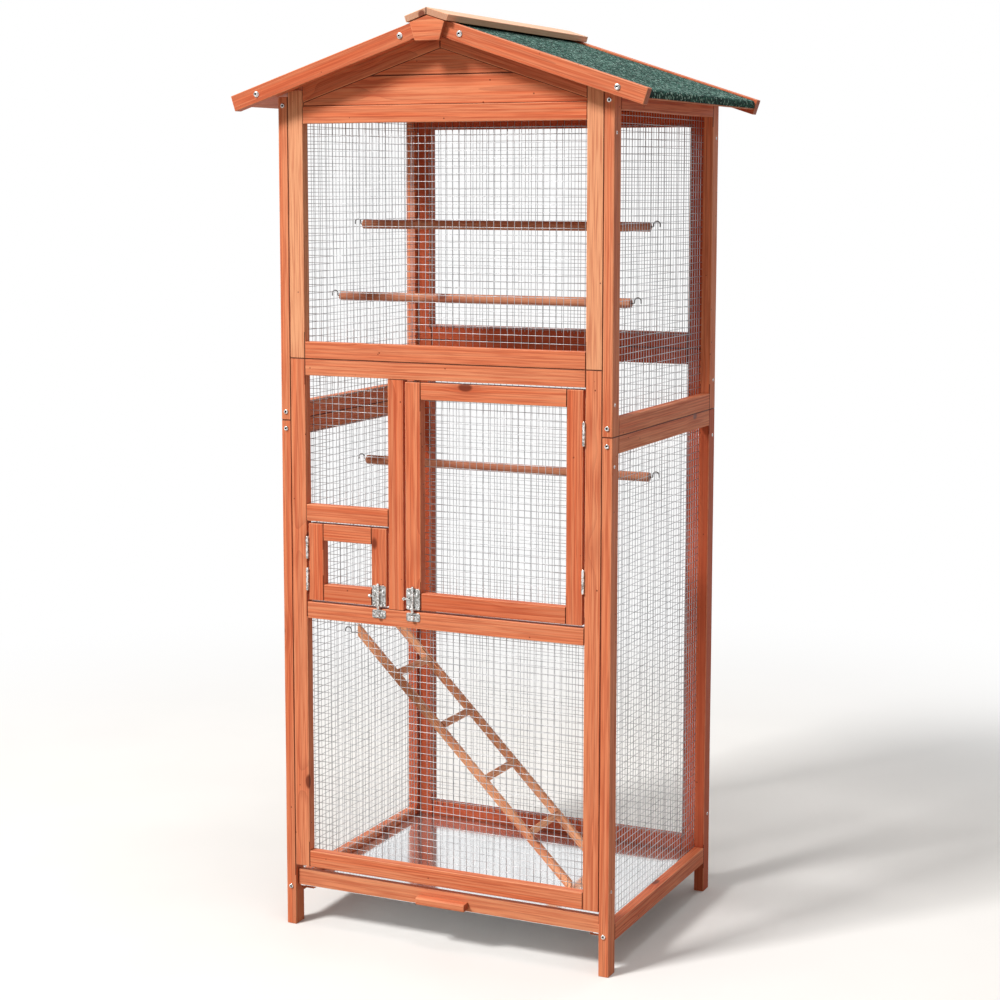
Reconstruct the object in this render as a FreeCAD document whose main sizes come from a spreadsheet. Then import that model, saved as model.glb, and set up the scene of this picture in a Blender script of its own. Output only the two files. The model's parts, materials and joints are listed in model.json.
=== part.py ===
"""A tall wooden aviary for a macaw.

It has framed mesh panels, two doors, a gable roof, a drawer, a ladder and perches. X runs along the
front, Y from the front to the back and Z up. The origin is on the floor, under the middle of the whole
object, roof overhangs included.
"""
import FreeCAD, Part
import math
import os
import Sketcher
from FreeCAD import Vector

SIZES = [
    # The case and its battens
    ("case_width", 638, "Across the legs"),
    ("case_depth", 520, "Front face to back face"),
    ("lower_side_height", 936, "Floor to the joint of the side panels"),
    ("upper_side_height", 572, "Joint of the side panels to the leg tops"),
    ("batten_wide", 30, "Wide face of every batten"),
    ("batten_thick", 19, "Thin face of every batten"),
    ("side_foot", 57, "Floor to the bottom rail of a side"),
    ("front_foot", 114, "Floor to the bottom rail of the front, above the drawer"),
    ("back_foot", 72, "Floor to the bottom rail of the back"),
    ("front_joint_rise", 112, "Joint of the side panels up to the joint of the front and back ones"),
    ("gable_rail_drop", 17, "Leg tops down to the top of the gable rail"),
    # The door bays of the front
    ("door_sill_share", 0.6175, "Foot of the rail under the doors, by the height of the lower sides"),
    ("small_bay_width", 166, "Opening for the small door"),
    ("small_bay_height", 148, "Opening for the small door"),
    ("door_gap", 4, "Gap all round each door"),
    # The roof
    ("roof_gap", 5, "Leg tops to the roof at the case's sides"),
    ("roof_rise", 104.3, "Rise of the roof from a case side to the ridge"),
    ("roof_overhang", 66, "Roof boards past the case's sides"),
    ("front_overhang", 21, "Roof boards past the front"),
    ("rear_overhang", 5, "Roof boards past the back"),
    ("roof_board_thick", 14, "Roof boards"),
    ("felt_thick", 2, "Roofing felt"),
    ("felt_lip", 12, "Felt turned down over the eaves"),
    ("barge_wide", 28, "Barge boards"),
    ("barge_thick", 19, "Barge boards"),
    ("barge_lift", 3, "Barge boards above the felt"),
    ("barge_tip", 7, "Barge boards past the roof boards"),
    ("cap_wide", 38, "Ridge boards, measured level from the ridge"),
    ("cap_thick", 11.5, "Ridge boards"),
    ("cap_reach", 12, "Ridge boards past the barge boards"),
    ("end_block_top", 33, "Half of the ridge end block at its top"),
    ("end_block_foot", 23, "Half of the ridge end block at its foot"),
    ("end_block_drop", 43, "Ridge to the foot of the ridge end block"),
    ("end_block_thick", 10, "Ridge end block"),
    ("plank_thick", 12, "Gable planks"),
    ("plank_inset", 3, "Gable planks behind the rafters' faces"),
    ("lower_plank_wide", 50, "Height of the lower gable plank"),
    # The wire mesh
    ("net_thick", 2, "Welded mesh with its two layers of wire"),
    ("net_margin", 8, "Mesh behind the frame round each opening"),
    ("net_pitch", 78, "From one thick wire to the next"),
    ("side_net_rise", 65, "From one level thick wire of a side mesh to the next"),
    ("net_bar", 1, "Wire"),
    ("net_rim", 3, "Doubled wires at the edge of the mesh"),
    ("lower_mesh_shift", 31, "Lower perch to the next thick wire behind it"),
    # The hinges
    ("hinge_height", 40, "Butt hinges"),
    ("knuckle_radius", 2.5, "Outside of the knuckles"),
    ("knuckle_gap", 0.3, "Between neighbouring knuckles"),
    ("pin_radius", 1, "Hinge pins"),
    ("pin_play", 0.05, "Round the pin in the door's knuckle"),
    ("pin_end", 1, "Pin past the knuckles"),
    ("pin_forward", 2, "Pin in front of the doors' faces"),
    ("leaf_thick", 1, "Hinge leaves"),
    ("leaf_deep", 16, "Hinge leaves from front to back"),
    ("leaf_step", 0.8, "Leaf plates behind the doors' faces"),
    ("big_hinge_rise", 76, "Big door's foot to the middle of its lower hinge"),
    ("big_hinge_drop", 74, "Big door's top to the middle of its upper hinge"),
    ("small_hinge_rise", 38, "Small door's foot to the middle of its lower hinge"),
    ("small_hinge_drop", 44, "Small door's top to the middle of its upper hinge"),
    # The barrel bolts under the doors
    ("latch_wide", 27, "Latch plates and keepers"),
    ("latch_high", 38, "Latch plates"),
    ("keeper_high", 15, "Keepers"),
    ("keeper_drop", 2, "Top of the rail to the top of the keeper"),
    ("plate_thick", 1, "Latch plates and keepers"),
    ("rod_radius", 2.5, "Bolt rods"),
    ("rod_play", 0.1, "Round the rod in its straps"),
    ("rod_stand", 3.2, "Plate to the middle of the rod"),
    ("rod_tip_gap", 0.5, "Keeper's top to the tip of the drawn bolt"),
    ("rod_length", 47.5, "Bolt rods"),
    ("strap_wall", 1.2, "Wall of the straps round the rods"),
    ("strap_high", 4, "Straps on the latch plates"),
    ("upper_strap_rise", 24, "Foot of the plate to the foot of its upper strap"),
    ("keeper_strap_high", 8, "Straps on the keepers"),
    ("keeper_play", 0.4, "Round the rod in the keeper"),
    ("knob_rise", 19, "Foot of the plate to the knob"),
    ("knob_reach", 14, "Rod to the grip of the knob"),
    ("knob_radius", 2, "Stem of the knob"),
    ("grip_radius", 3.5, "Grip at the end of the knob"),
    ("grip_long", 5, "Grip at the end of the knob"),
    # The drawer
    ("tray_clear", 1.5, "Between the tray sheet and the side meshes"),
    ("tray_back_clear", 4, "Between the tray sheet and the back"),
    ("sheet_thick", 1, "Tray sheet"),
    ("hem_wide", 10, "Folded hem of the tray sheet"),
    ("board_clear", 1, "Between the drawer front and each leg"),
    ("board_inset", 8, "Drawer front behind the legs' faces"),
    ("board_thick", 12, "Drawer front"),
    ("board_high", 30, "Drawer front"),
    ("sheet_nail_land", 10, "Tray sheet under the drawer front"),
    ("handle_long", 96, "Handle block"),
    ("handle_high", 14, "Handle block"),
    ("handle_deep", 19, "Handle block"),
    ("handle_rise", 4, "Drawer front's foot to the handle block"),
    ("handle_chamfer", 2, "Eased edges of the handle block"),
    ("runner_wide", 25, "Drawer runners"),
    ("runner_high", 8, "Drawer runners"),
    ("runner_rise", 7, "Foot of the side rail to the foot of the runner"),
    ("runner_inset", 22, "Runners behind the legs' faces"),
    ("seat_gap", 0.3, "Between loose pieces and what they rest on"),
    # The perches and the hooks
    ("perch_radius", 8.5, "Perches"),
    ("perch_end_gap", 11, "Mesh to the end of a perch"),
    ("top_perch_drop", 227, "Leg tops down to the top perch"),
    ("top_perch_back", 254, "Front face to the top perch"),
    ("middle_perch_forward", 90, "Top perch to the middle perch, towards the front"),
    ("middle_perch_rows", 2, "Thick wires from the top perch down to the middle one"),
    ("lower_perch_drop", 101, "Joint of the side panels down to the lower perch"),
    ("lower_perch_back", 262, "Front face to the lower perch"),
    ("hook_wire", 1, "Radius of the hooks' wire"),
    ("hook_radius", 6, "Crook of a hook, to the middle of its wire"),
    ("hook_bend", 2, "Elbow of a hook"),
    ("hook_rise", 4, "Stem of a hook up to the middle of its crook"),
    # The ladder
    ("ladder_rows", 5, "Thick wires from the lower perch down to the ladder's hooks"),
    ("ladder_top", 21, "Mesh to the ladder's upper end"),
    ("ladder_hook_inset", 5, "Ladder's lower edge to its hooks"),
    ("ladder_rail_wide", 16, "Ladder rails, square to the slope"),
    ("ladder_rail_thick", 9, "Ladder rails from front to back"),
    ("ladder_near_rail", 200, "Front face to the nearer rail"),
    ("ladder_inside", 129, "Between the rails"),
    ("ladder_toe", 11, "Level cut at the ladder's foot"),
    ("rung_wide", 13, "Rungs along the slope"),
    ("rung_thick", 9, "Rungs square to the slope"),
    ("rung_first", 85, "Ladder's upper end to the first rung, measured level"),
    ("rung_last", 71.4, "Last rung to the ladder's foot, measured level"),
    # The frame bolts
    ("bolt_radius", 4, "Heads of the frame bolts"),
    ("bolt_high", 2.2, "Heads of the frame bolts"),
    ("socket_radius", 1.8, "Socket in the bolt heads"),
    ("socket_deep", 1.5, "Socket in the bolt heads"),
    ("washer_radius", 5.2, "Washers on the barge boards"),
    ("washer_thick", 1, "Washers on the barge boards"),
    ("inner_bolt", 56, "Ridge to the inner bolt of a barge board"),
    ("outer_bolt", 339, "Ridge to the outer bolt of a barge board"),
]
RUNG_COUNT = 4
KNUCKLES = 3
SLOPE_OF_LADDER = 45
SMALL_FACETS = 8
WIRE_FACETS = 4
SOCKET_FACETS = 6
CORNER_SHARE = 1 / math.cos(math.pi / SMALL_FACETS)

TO_LEFT = FreeCAD.Rotation(Vector(0, -1, 0), 90)
TO_RIGHT = FreeCAD.Rotation(Vector(0, 1, 0), 90)

document = FreeCAD.newDocument("MacawCage")
nodes = []


class Measure:
    """A length, known both as a number and as a formula on the sheet."""

    def __init__(self, value, text):
        self.value = value
        self.text = text

    def __add__(self, other):
        other = measure(other)
        return Measure(self.value + other.value, "(%s + %s)" % (self.text, other.text))

    def __sub__(self, other):
        other = measure(other)
        return Measure(self.value - other.value, "(%s - %s)" % (self.text, other.text))

    def __rsub__(self, other):
        return measure(other) - self

    def __mul__(self, other):
        other = measure(other)
        return Measure(self.value * other.value, "(%s * %s)" % (self.text, other.text))

    def __truediv__(self, other):
        other = measure(other)
        return Measure(self.value / other.value, "(%s / %s)" % (self.text, other.text))

    def __neg__(self):
        return Measure(-self.value, "(-%s)" % self.text)

    __radd__ = __add__
    __rmul__ = __mul__


def measure(thing):
    """Any number as a Measure."""
    if isinstance(thing, Measure):
        return thing
    return Measure(thing, repr(thing))


def square_root(thing):
    return Measure(math.sqrt(thing.value), "sqrt(%s)" % thing.text)


class SizeSheet:
    """The spreadsheet of driving sizes; each size is an attribute that gives a Measure."""

    def __init__(self, rows):
        sheet = document.addObject("Spreadsheet::Sheet", "Sizes")
        for row, (alias, value, note) in enumerate(rows, start=1):
            sheet.set("A%d" % row, alias)
            sheet.set("B%d" % row, str(value))
            sheet.set("C%d" % row, note)
            sheet.setAlias("B%d" % row, alias)
        document.recompute()
        for alias, value, note in rows:
            setattr(self, alias, Measure(float(sheet.get(alias)), "Sizes." + alias))


size = SizeSheet(SIZES)


# Places that several pieces share

HALF = size.case_width / 2
LEFT = -HALF
FRONT = (size.front_overhang - size.rear_overhang) / 2 - size.case_depth / 2
BACK = FRONT + size.case_depth
INNER = HALF - size.batten_thick
BAY = INNER - size.batten_wide
LEG_TOP = size.lower_side_height + size.upper_side_height
FRONT_SPLIT = size.lower_side_height + size.front_joint_rise
ROOF_SLOPE = size.roof_rise / HALF
SLANT = square_root(ROOF_SLOPE * ROOF_SLOPE + 1)
ROOF_UNDER = LEG_TOP + size.roof_gap + size.roof_rise
ROOF_TOP = ROOF_UNDER + size.roof_board_thick * SLANT
FELT_TOP = ROOF_TOP + size.felt_thick * SLANT
BARGE_TOP = FELT_TOP + size.barge_lift * SLANT
EAVE = HALF + size.roof_overhang
GABLE_RAIL_TOP = LEG_TOP - size.gable_rail_drop
STILE_TOP = ROOF_UNDER - ROOF_SLOPE * INNER - size.seat_gap
DOOR_SILL = size.lower_side_height * size.door_sill_share
BAY_SILL = DOOR_SILL + size.batten_wide
BAY_TOP = FRONT_SPLIT - size.batten_wide
SMALL_BAY_RIGHT = size.small_bay_width - BAY
BIG_BAY_LEFT = SMALL_BAY_RIGHT + size.batten_wide
WINDOW_RAIL = BAY_SILL + size.small_bay_height
SIDE_NET = INNER - size.net_thick
SIDE_NET_MARGIN = (size.batten_wide - size.batten_thick) / 2
SHEET_UNDER = size.side_foot + size.runner_rise + size.runner_high + size.seat_gap
SHEET_TOP = SHEET_UNDER + size.sheet_thick * 2
PIN_Y = FRONT - size.pin_forward
ROD_Y = FRONT - size.plate_thick - size.rod_stand
TOP_PERCH = LEG_TOP - size.top_perch_drop
LOWER_PERCH = size.lower_side_height - size.lower_perch_drop
CROOK_INSIDE = size.hook_radius - size.hook_wire
HOOK_TO_WIRE = (
    size.hook_rise
    + square_root(CROOK_INSIDE * CROOK_INSIDE - size.net_thick * size.net_thick / 4)
    - size.seat_gap
    - size.net_bar / 2
)


# Helpers for making pieces

def bind(thing, **formulas):
    """Tie the properties of a document object to measures."""
    for name, length in formulas.items():
        path = name.replace("_", ".")
        thing.setExpression(path, measure(length).text)
    return thing


def put(thing, x=0, y=0, z=0):
    """Tie an object's place to measures."""
    return bind(thing, Placement_Base_x=x, Placement_Base_y=y, Placement_Base_z=z)


def block(name, corner, lengths):
    """A square-edged piece from its low corner and its three lengths."""
    box = document.addObject("Part::Box", name)
    bind(box, Length=lengths[0], Width=lengths[1], Height=lengths[2])
    return put(box, *corner)


def cylinder(name, radius, height, base, turn=None):
    """A cylinder from the middle of its foot, upright or turned."""
    drum = document.addObject("Part::Cylinder", name)
    if turn:
        drum.Placement = FreeCAD.Placement(Vector(), turn)
    bind(drum, Radius=radius, Height=height)
    return put(drum, *base)


def prism(name, corner_radius, height, base, facets=SMALL_FACETS, turn=None):
    """A small round piece with few facets, from the middle of its foot, upright or turned."""
    drum = document.addObject("Part::Prism", name)
    drum.Polygon = facets
    if turn:
        drum.Placement = FreeCAD.Placement(Vector(), turn)
    bind(drum, Circumradius=corner_radius, Height=height)
    return put(drum, *base)


def fuse(name, things):
    whole = document.addObject("Part::MultiFuse", name)
    whole.Shapes = things
    whole.Refine = True
    return whole


def cut(name, base, tool):
    rest = document.addObject("Part::Cut", name)
    rest.Base = base
    rest.Tool = tool
    rest.Refine = True
    return rest


def mirror(name, source):
    """The same piece on the other side of the middle plane."""
    twin = document.addObject("Part::Mirroring", name)
    twin.Source = source
    twin.Normal = Vector(1, 0, 0)
    return twin


def feature(name, shape):
    """A piece whose shape is worked out here from the sheet."""
    thing = document.addObject("Part::Feature", name)
    thing.Shape = shape
    return thing


def node(label, things):
    """Name a sub-part; several pieces are gathered as separate solids."""
    if len(things) == 1:
        whole = things[0]
    else:
        whole = document.addObject("Part::Compound", "Group")
        whole.Links = things
    whole.Label = label
    nodes.append(whole)


def plane(body, role):
    for datum in body.Origin.OriginFeatures:
        if datum.Role == role:
            return datum


def outline(body, role, points):
    """A closed sketch of straight lines on one of the body's own planes, every corner tied to the sheet."""
    sketch = body.newObject("Sketcher::SketchObject", body.Name + "Outline")
    sketch.AttachmentSupport = [(plane(body, role), "")]
    sketch.MapMode = "FlatFace"
    corners = [(measure(x), measure(y)) for x, y in points]
    count = len(corners)
    places = [Vector(x.value, y.value, 0) for x, y in corners]
    for index in range(count):
        sketch.addGeometry(Part.LineSegment(places[index], places[(index + 1) % count]), False)
    for index in range(count):
        sketch.addConstraint(Sketcher.Constraint("Coincident", index, 2, (index + 1) % count, 1))
    for index, (x, y) in enumerate(corners):
        for kind, length, axis in (("DistanceX", x, -2), ("DistanceY", y, -1)):
            if length.value == 0:
                sketch.addConstraint(Sketcher.Constraint("PointOnObject", index, 1, axis))
            else:
                row = sketch.addConstraint(Sketcher.Constraint(kind, -1, 1, index, 1, length.value))
                sketch.setExpression("Constraints[%d]" % row, length.text)
    return sketch


def profile(name, points, y_low, thick, x=0):
    """A board cut to an outline seen from the front, from y_low and thick mm deep."""
    body = document.addObject("PartDesign::Body", name)
    pad = body.newObject("PartDesign::Pad", name + "Pad")
    pad.Profile = outline(body, "XZ_Plane", points)
    bind(pad, Length=thick)
    body.Tip = pad
    return put(body, x=x, y=y_low + thick)


def copies(name, source, places):
    """Copies of one piece at several placements, as separate solids."""
    document.recompute()
    solids = []
    for place in places:
        twin = source.Shape.copy()
        twin.Placement = place
        solids.append(twin)
    return feature(name, Part.makeCompound(solids))


# Frames of battens

def stile(name, x, y, z_low, z_high):
    """An upright batten with its wide face to the front."""
    return block(name, (x, y, z_low), (size.batten_wide, size.batten_thick, z_high - z_low))


def rail(name, x_low, x_high, y, z):
    """A level batten with its wide face to the front."""
    return block(name, (x_low, y, z), (x_high - x_low, size.batten_thick, size.batten_wide))


def make_sides():
    """The legs and the rails of the four side panels."""
    thick = size.batten_thick
    wide = size.batten_wide
    joint = size.lower_side_height
    between = size.case_depth - wide * 2
    legs = []
    stiles = []
    lower_rails = []
    upper_rails = []
    for x in (LEFT, HALF - thick):
        for y in (FRONT, BACK - wide):
            legs.append(block("Leg", (x, y, 0), (thick, wide, joint)))
            stiles.append(block("UpperStile", (x, y, joint), (thick, wide, size.upper_side_height)))
        for z in (size.side_foot, joint - wide):
            lower_rails.append(block("LowerSideRail", (x, FRONT + wide, z), (thick, between, wide)))
        for z in (joint, LEG_TOP - wide):
            upper_rails.append(block("UpperSideRail", (x, FRONT + wide, z), (thick, between, wide)))
    node("side_legs", legs)
    node("upper_side_stiles", stiles)
    node("lower_side_rails", lower_rails)
    node("upper_side_rails", upper_rails)


def make_front():
    """The two front panels, with the door bays in the lower one."""
    foot = size.front_foot
    stile_places = (-INNER, BAY)
    upper_heights = (FRONT_SPLIT, GABLE_RAIL_TOP - size.batten_wide)
    lower_heights = (foot, DOOR_SILL, BAY_TOP)
    upper = [stile("FrontUpperStile", x, FRONT, FRONT_SPLIT, STILE_TOP) for x in stile_places]
    lower = [stile("FrontLowerStile", x, FRONT, foot, FRONT_SPLIT) for x in stile_places]
    upper_rails = [rail("FrontUpperRail", -BAY, BAY, FRONT, z) for z in upper_heights]
    lower_rails = [rail("FrontLowerRail", -BAY, BAY, FRONT, z) for z in lower_heights]
    node("front_upper_stiles", upper)
    node("front_upper_rails", upper_rails)
    node("front_lower_stiles", lower)
    node("front_lower_rails", lower_rails)
    node("door_divider_post", [stile("DividerPost", SMALL_BAY_RIGHT, FRONT, BAY_SILL, BAY_TOP)])
    node("fixed_window_rail", [rail("WindowRail", -BAY, SMALL_BAY_RIGHT, FRONT, WINDOW_RAIL)])


def make_back():
    """The two back panels."""
    wide = size.batten_wide
    y = BACK - size.batten_thick
    stiles = []
    for x in (-INNER, BAY):
        stiles.append(stile("BackStile", x, y, size.back_foot, FRONT_SPLIT))
        stiles.append(stile("BackStile", x, y, FRONT_SPLIT, STILE_TOP))
    rail_places = (size.back_foot, FRONT_SPLIT - wide, FRONT_SPLIT, GABLE_RAIL_TOP - wide)
    node("back_stiles", stiles)
    node("back_rails", [rail("BackRail", -BAY, BAY, y, z) for z in rail_places])


def make_door(name, x_low, x_high, z_low, z_high):
    """A door frame: stiles of full height with rails between them."""
    wide = size.batten_wide
    stiles = [stile("DoorStile", x, FRONT, z_low, z_high) for x in (x_low, x_high - wide)]
    rails = [rail("DoorRail", x_low + wide, x_high - wide, FRONT, z) for z in (z_low, z_high - wide)]
    node(name + "_stiles", stiles)
    node(name + "_rails", rails)


# The gables and the roof

def roof_line(top, x):
    """Height of a line that falls from the ridge with the roof."""
    return top - ROOF_SLOPE * x


def make_gables():
    """The rafters and planks that close the front and back gables."""
    deep = size.batten_wide * SLANT
    rafter = [
        (0, ROOF_UNDER - deep),
        (BAY, roof_line(ROOF_UNDER - deep, BAY)),
        (BAY, roof_line(ROOF_UNDER, BAY)),
        (0, ROOF_UNDER),
    ]
    inner_peak = ROOF_UNDER - deep
    joint = GABLE_RAIL_TOP + size.lower_plank_wide
    joint_half = (inner_peak - joint) / ROOF_SLOPE
    side = roof_line(inner_peak, BAY)
    lower_plank = [
        (0, GABLE_RAIL_TOP),
        (BAY * 2, GABLE_RAIL_TOP),
        (BAY * 2, side),
        (BAY + joint_half, joint),
        (BAY - joint_half, joint),
        (0, side),
    ]
    upper_plank = [
        (BAY - joint_half, joint),
        (BAY + joint_half, joint),
        (BAY, inner_peak),
    ]
    rafters = []
    planks = []
    plank_room = size.batten_thick - size.plank_thick
    for y, plank_y in (
        (FRONT, FRONT + size.plank_inset),
        (BACK - size.batten_thick, BACK - size.batten_thick + plank_room - size.plank_inset),
    ):
        right = profile("Rafter", rafter, y, size.batten_thick)
        rafters += [right, mirror("RafterTwin", right)]
        for points in (lower_plank, upper_plank):
            planks.append(profile("GablePlank", points, plank_y, size.plank_thick, x=-BAY))
    node("gable_rafters", rafters)
    node("gable_planks", planks)


def make_roof():
    """Roof boards under felt, barge boards at both ends and a ridge cap on top."""
    y = FRONT - size.front_overhang
    depth = size.front_overhang + size.case_depth + size.rear_overhang
    board = [
        (0, ROOF_UNDER),
        (EAVE, roof_line(ROOF_UNDER, EAVE)),
        (EAVE, roof_line(ROOF_TOP, EAVE)),
        (0, ROOF_TOP),
    ]
    felt_edge = EAVE + size.felt_thick
    lip = roof_line(ROOF_TOP, EAVE) - size.felt_lip
    felt = [
        (0, ROOF_TOP),
        (EAVE, roof_line(ROOF_TOP, EAVE)),
        (EAVE, lip),
        (felt_edge, lip),
        (felt_edge, roof_line(FELT_TOP, felt_edge)),
        (0, FELT_TOP),
    ]
    for sub_part, points in (("roof_board", board), ("felt", felt)):
        right = profile("RoofSheet", points, y, depth)
        node("right_" + sub_part, [right])
        node("left_" + sub_part, [mirror("RoofSheetTwin", right)])

    tip = EAVE + size.barge_tip
    across = size.barge_wide / SLANT
    barge = [
        (0, BARGE_TOP - size.barge_wide * SLANT),
        (tip - across * ROOF_SLOPE, roof_line(BARGE_TOP, tip) - across),
        (tip, roof_line(BARGE_TOP, tip)),
        (0, BARGE_TOP),
    ]
    end_block = [
        (size.end_block_top - size.end_block_foot, BARGE_TOP - size.end_block_drop),
        (size.end_block_top + size.end_block_foot, BARGE_TOP - size.end_block_drop),
        (size.end_block_top * 2, roof_line(BARGE_TOP, size.end_block_top)),
        (size.end_block_top, BARGE_TOP),
        (0, roof_line(BARGE_TOP, size.end_block_top)),
    ]
    barges = []
    blocks = []
    front_barge = y - size.barge_thick
    rear_barge = BACK + size.rear_overhang
    for barge_y, block_y in (
        (front_barge, front_barge - size.end_block_thick),
        (rear_barge, rear_barge + size.barge_thick),
    ):
        right = profile("Barge", barge, barge_y, size.barge_thick)
        barges += [right, mirror("BargeTwin", right)]
        blocks.append(profile("EndBlock", end_block, block_y, size.end_block_thick, x=-size.end_block_top))
    node("barge_boards", barges)
    node("ridge_end_blocks", blocks)

    rise = size.cap_thick / SLANT
    cap_side = roof_line(BARGE_TOP, size.cap_wide)
    cap = [
        (0, BARGE_TOP),
        (size.cap_wide, cap_side),
        (size.cap_wide + rise * ROOF_SLOPE, cap_side + rise),
        (0, BARGE_TOP + size.cap_thick * SLANT),
    ]
    right = profile(
        "CapBoard",
        cap,
        front_barge - size.cap_reach,
        depth + size.barge_thick * 2 + size.cap_reach * 2,
    )
    node("ridge_cap_boards", [right, mirror("CapBoardTwin", right)])


# The wire mesh

def wire_places(low, high, anchor, pitch):
    """Centres of the thick wires between two edges, in steps from one known wire."""
    first = math.ceil((low - anchor) / pitch)
    last = math.floor((high - anchor) / pitch)
    return [anchor + step * pitch for step in range(first, last + 1)]


def gaps_between(low, high, anchor, pitch):
    """The clear spans between wires, rim to rim."""
    rim = size.net_rim.value
    half_bar = size.net_bar.value / 2
    spans = []
    start = low + rim
    for wire in wire_places(low + rim * 2, high - rim * 2, anchor, pitch):
        spans.append((start, wire - half_bar))
        start = wire + half_bar
    spans.append((start, high - rim))
    return spans


def rectangle(across_low, across_high, z_low, z_high, place):
    corners = [
        place(across_low, z_low),
        place(across_high, z_low),
        place(across_high, z_high),
        place(across_low, z_high),
        place(across_low, z_low),
    ]
    return Part.makePolygon(corners)


def make_net(label, low, high, place, direction, anchor, rise):
    """Flat mesh behind a frame: one face with a hole for each group of wire squares, given its thickness.

    low and high are the corners across and up, and place turns such a pair into a point in space.
    """
    (across_low, z_low), (across_high, z_high) = low, high
    wires = [rectangle(across_low, across_high, z_low, z_high, place)]
    for left, right in gaps_between(across_low, across_high, anchor[0], size.net_pitch.value):
        for foot, top in gaps_between(z_low, z_high, anchor[1], rise.value):
            wires.append(rectangle(left, right, foot, top, place))
    face = Part.makeFace(wires, "Part::FaceMakerCheese")
    node(label, [feature("Net", face.extrude(direction * size.net_thick.value))])


def front_net(label, x_low, x_high, z_low, z_high, y):
    """Mesh across the front or the back, its wires set out from the middle of the opening."""
    margin = size.net_margin
    low = ((x_low - margin).value, (z_low - margin).value)
    high = ((x_high + margin).value, (z_high + margin).value)
    middle = ((low[0] + high[0]) / 2, (low[1] + high[1]) / 2)
    make_net(label, low, high, lambda x, z: Vector(x, y.value, z), Vector(0, 1, 0), middle, size.net_pitch)


def side_nets(ending, z_low, z_high, wire_y, wire_z):
    """Mesh inside both side panels, its wires set out so that the hooks hang over one."""
    margin = SIDE_NET_MARGIN
    low = ((FRONT + size.batten_wide - margin).value, (z_low - margin).value)
    high = ((BACK - size.batten_wide + margin).value, (z_high + margin).value)
    anchor = (wire_y.value, wire_z.value)
    rise = size.side_net_rise
    for side, x in (("left_", -INNER), ("right_", SIDE_NET)):
        make_net(side + ending, low, high, lambda y, z: Vector(x.value, y, z), Vector(1, 0, 0), anchor, rise)


def make_nets():
    wide = size.batten_wide
    behind_front = FRONT + size.batten_thick
    inside_back = BACK - size.batten_thick - size.net_thick
    gap = size.door_gap + wide
    window = (FRONT_SPLIT + wide, GABLE_RAIL_TOP - wide)
    door_foot = BAY_SILL + gap
    front_net("front_upper_net", -BAY, BAY, *window, behind_front)
    front_net("front_lower_net", -BAY, BAY, size.front_foot + wide, DOOR_SILL, behind_front)
    front_net("fixed_window_net", -BAY, SMALL_BAY_RIGHT, WINDOW_RAIL + wide, BAY_TOP, behind_front)
    front_net("big_door_net", BIG_BAY_LEFT + gap, BAY - gap, door_foot, BAY_TOP - gap, behind_front)
    front_net("small_door_net", gap - BAY, SMALL_BAY_RIGHT - gap, door_foot, WINDOW_RAIL - gap, behind_front)
    front_net("back_upper_net", -BAY, BAY, *window, inside_back)
    front_net("back_lower_net", -BAY, BAY, size.back_foot + wide, BAY_TOP, inside_back)
    joint = size.lower_side_height
    side_nets(
        "lower_net",
        size.side_foot + wide,
        joint - wide,
        FRONT + size.lower_perch_back + size.lower_mesh_shift,
        LOWER_PERCH + HOOK_TO_WIRE,
    )
    side_nets(
        "upper_net",
        joint + wide,
        LEG_TOP - wide,
        FRONT + size.top_perch_back - size.middle_perch_forward / 2,
        TOP_PERCH + HOOK_TO_WIRE,
    )


# The hinges and the bolts

def make_leaf(x_low, pin_x, foot, knuckles, bore):
    """A hinge leaf: a plate in the gap beside the door, with rolled knuckles in front of it."""
    thick = size.leaf_thick
    step = size.leaf_step
    plate = (thick, size.leaf_deep, size.hinge_height)
    pieces = [block("LeafPlate", (x_low, FRONT + step, foot), plate)]
    for z, high in knuckles:
        pieces.append(block("LeafTab", (x_low, PIN_Y, z), (thick, size.pin_forward + step, high)))
        pieces.append(prism("Knuckle", size.knuckle_radius, high, (pin_x, PIN_Y, z)))
    hole = prism("KnuckleBore", bore * CORNER_SHARE, size.hinge_height, (pin_x, PIN_Y, foot))
    return cut("Leaf", fuse("LeafBlank", pieces), hole)


def make_hinge(pin_x, middle, frame_is_right):
    """A butt hinge round a pin, as its frame leaf, its door leaf and the pin."""
    foot = middle - size.hinge_height / 2
    share = size.hinge_height / KNUCKLES
    near = pin_x - size.door_gap / 2
    far = pin_x + size.door_gap / 2 - size.leaf_thick
    frame_x, door_x = (far, near) if frame_is_right else (near, far)
    outer = [(foot, share), (foot + share * (KNUCKLES - 1), share)]
    inner = [(foot + share + size.knuckle_gap, share - size.knuckle_gap * 2)]
    frame_leaf = make_leaf(frame_x, pin_x, foot, outer, size.pin_radius)
    door_leaf = make_leaf(door_x, pin_x, foot, inner, size.pin_radius + size.pin_play)
    pin = prism(
        "HingePin",
        size.pin_radius,
        size.hinge_height + size.pin_end * 2,
        (pin_x, PIN_Y, foot - size.pin_end),
    )
    return frame_leaf, door_leaf, pin


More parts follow.
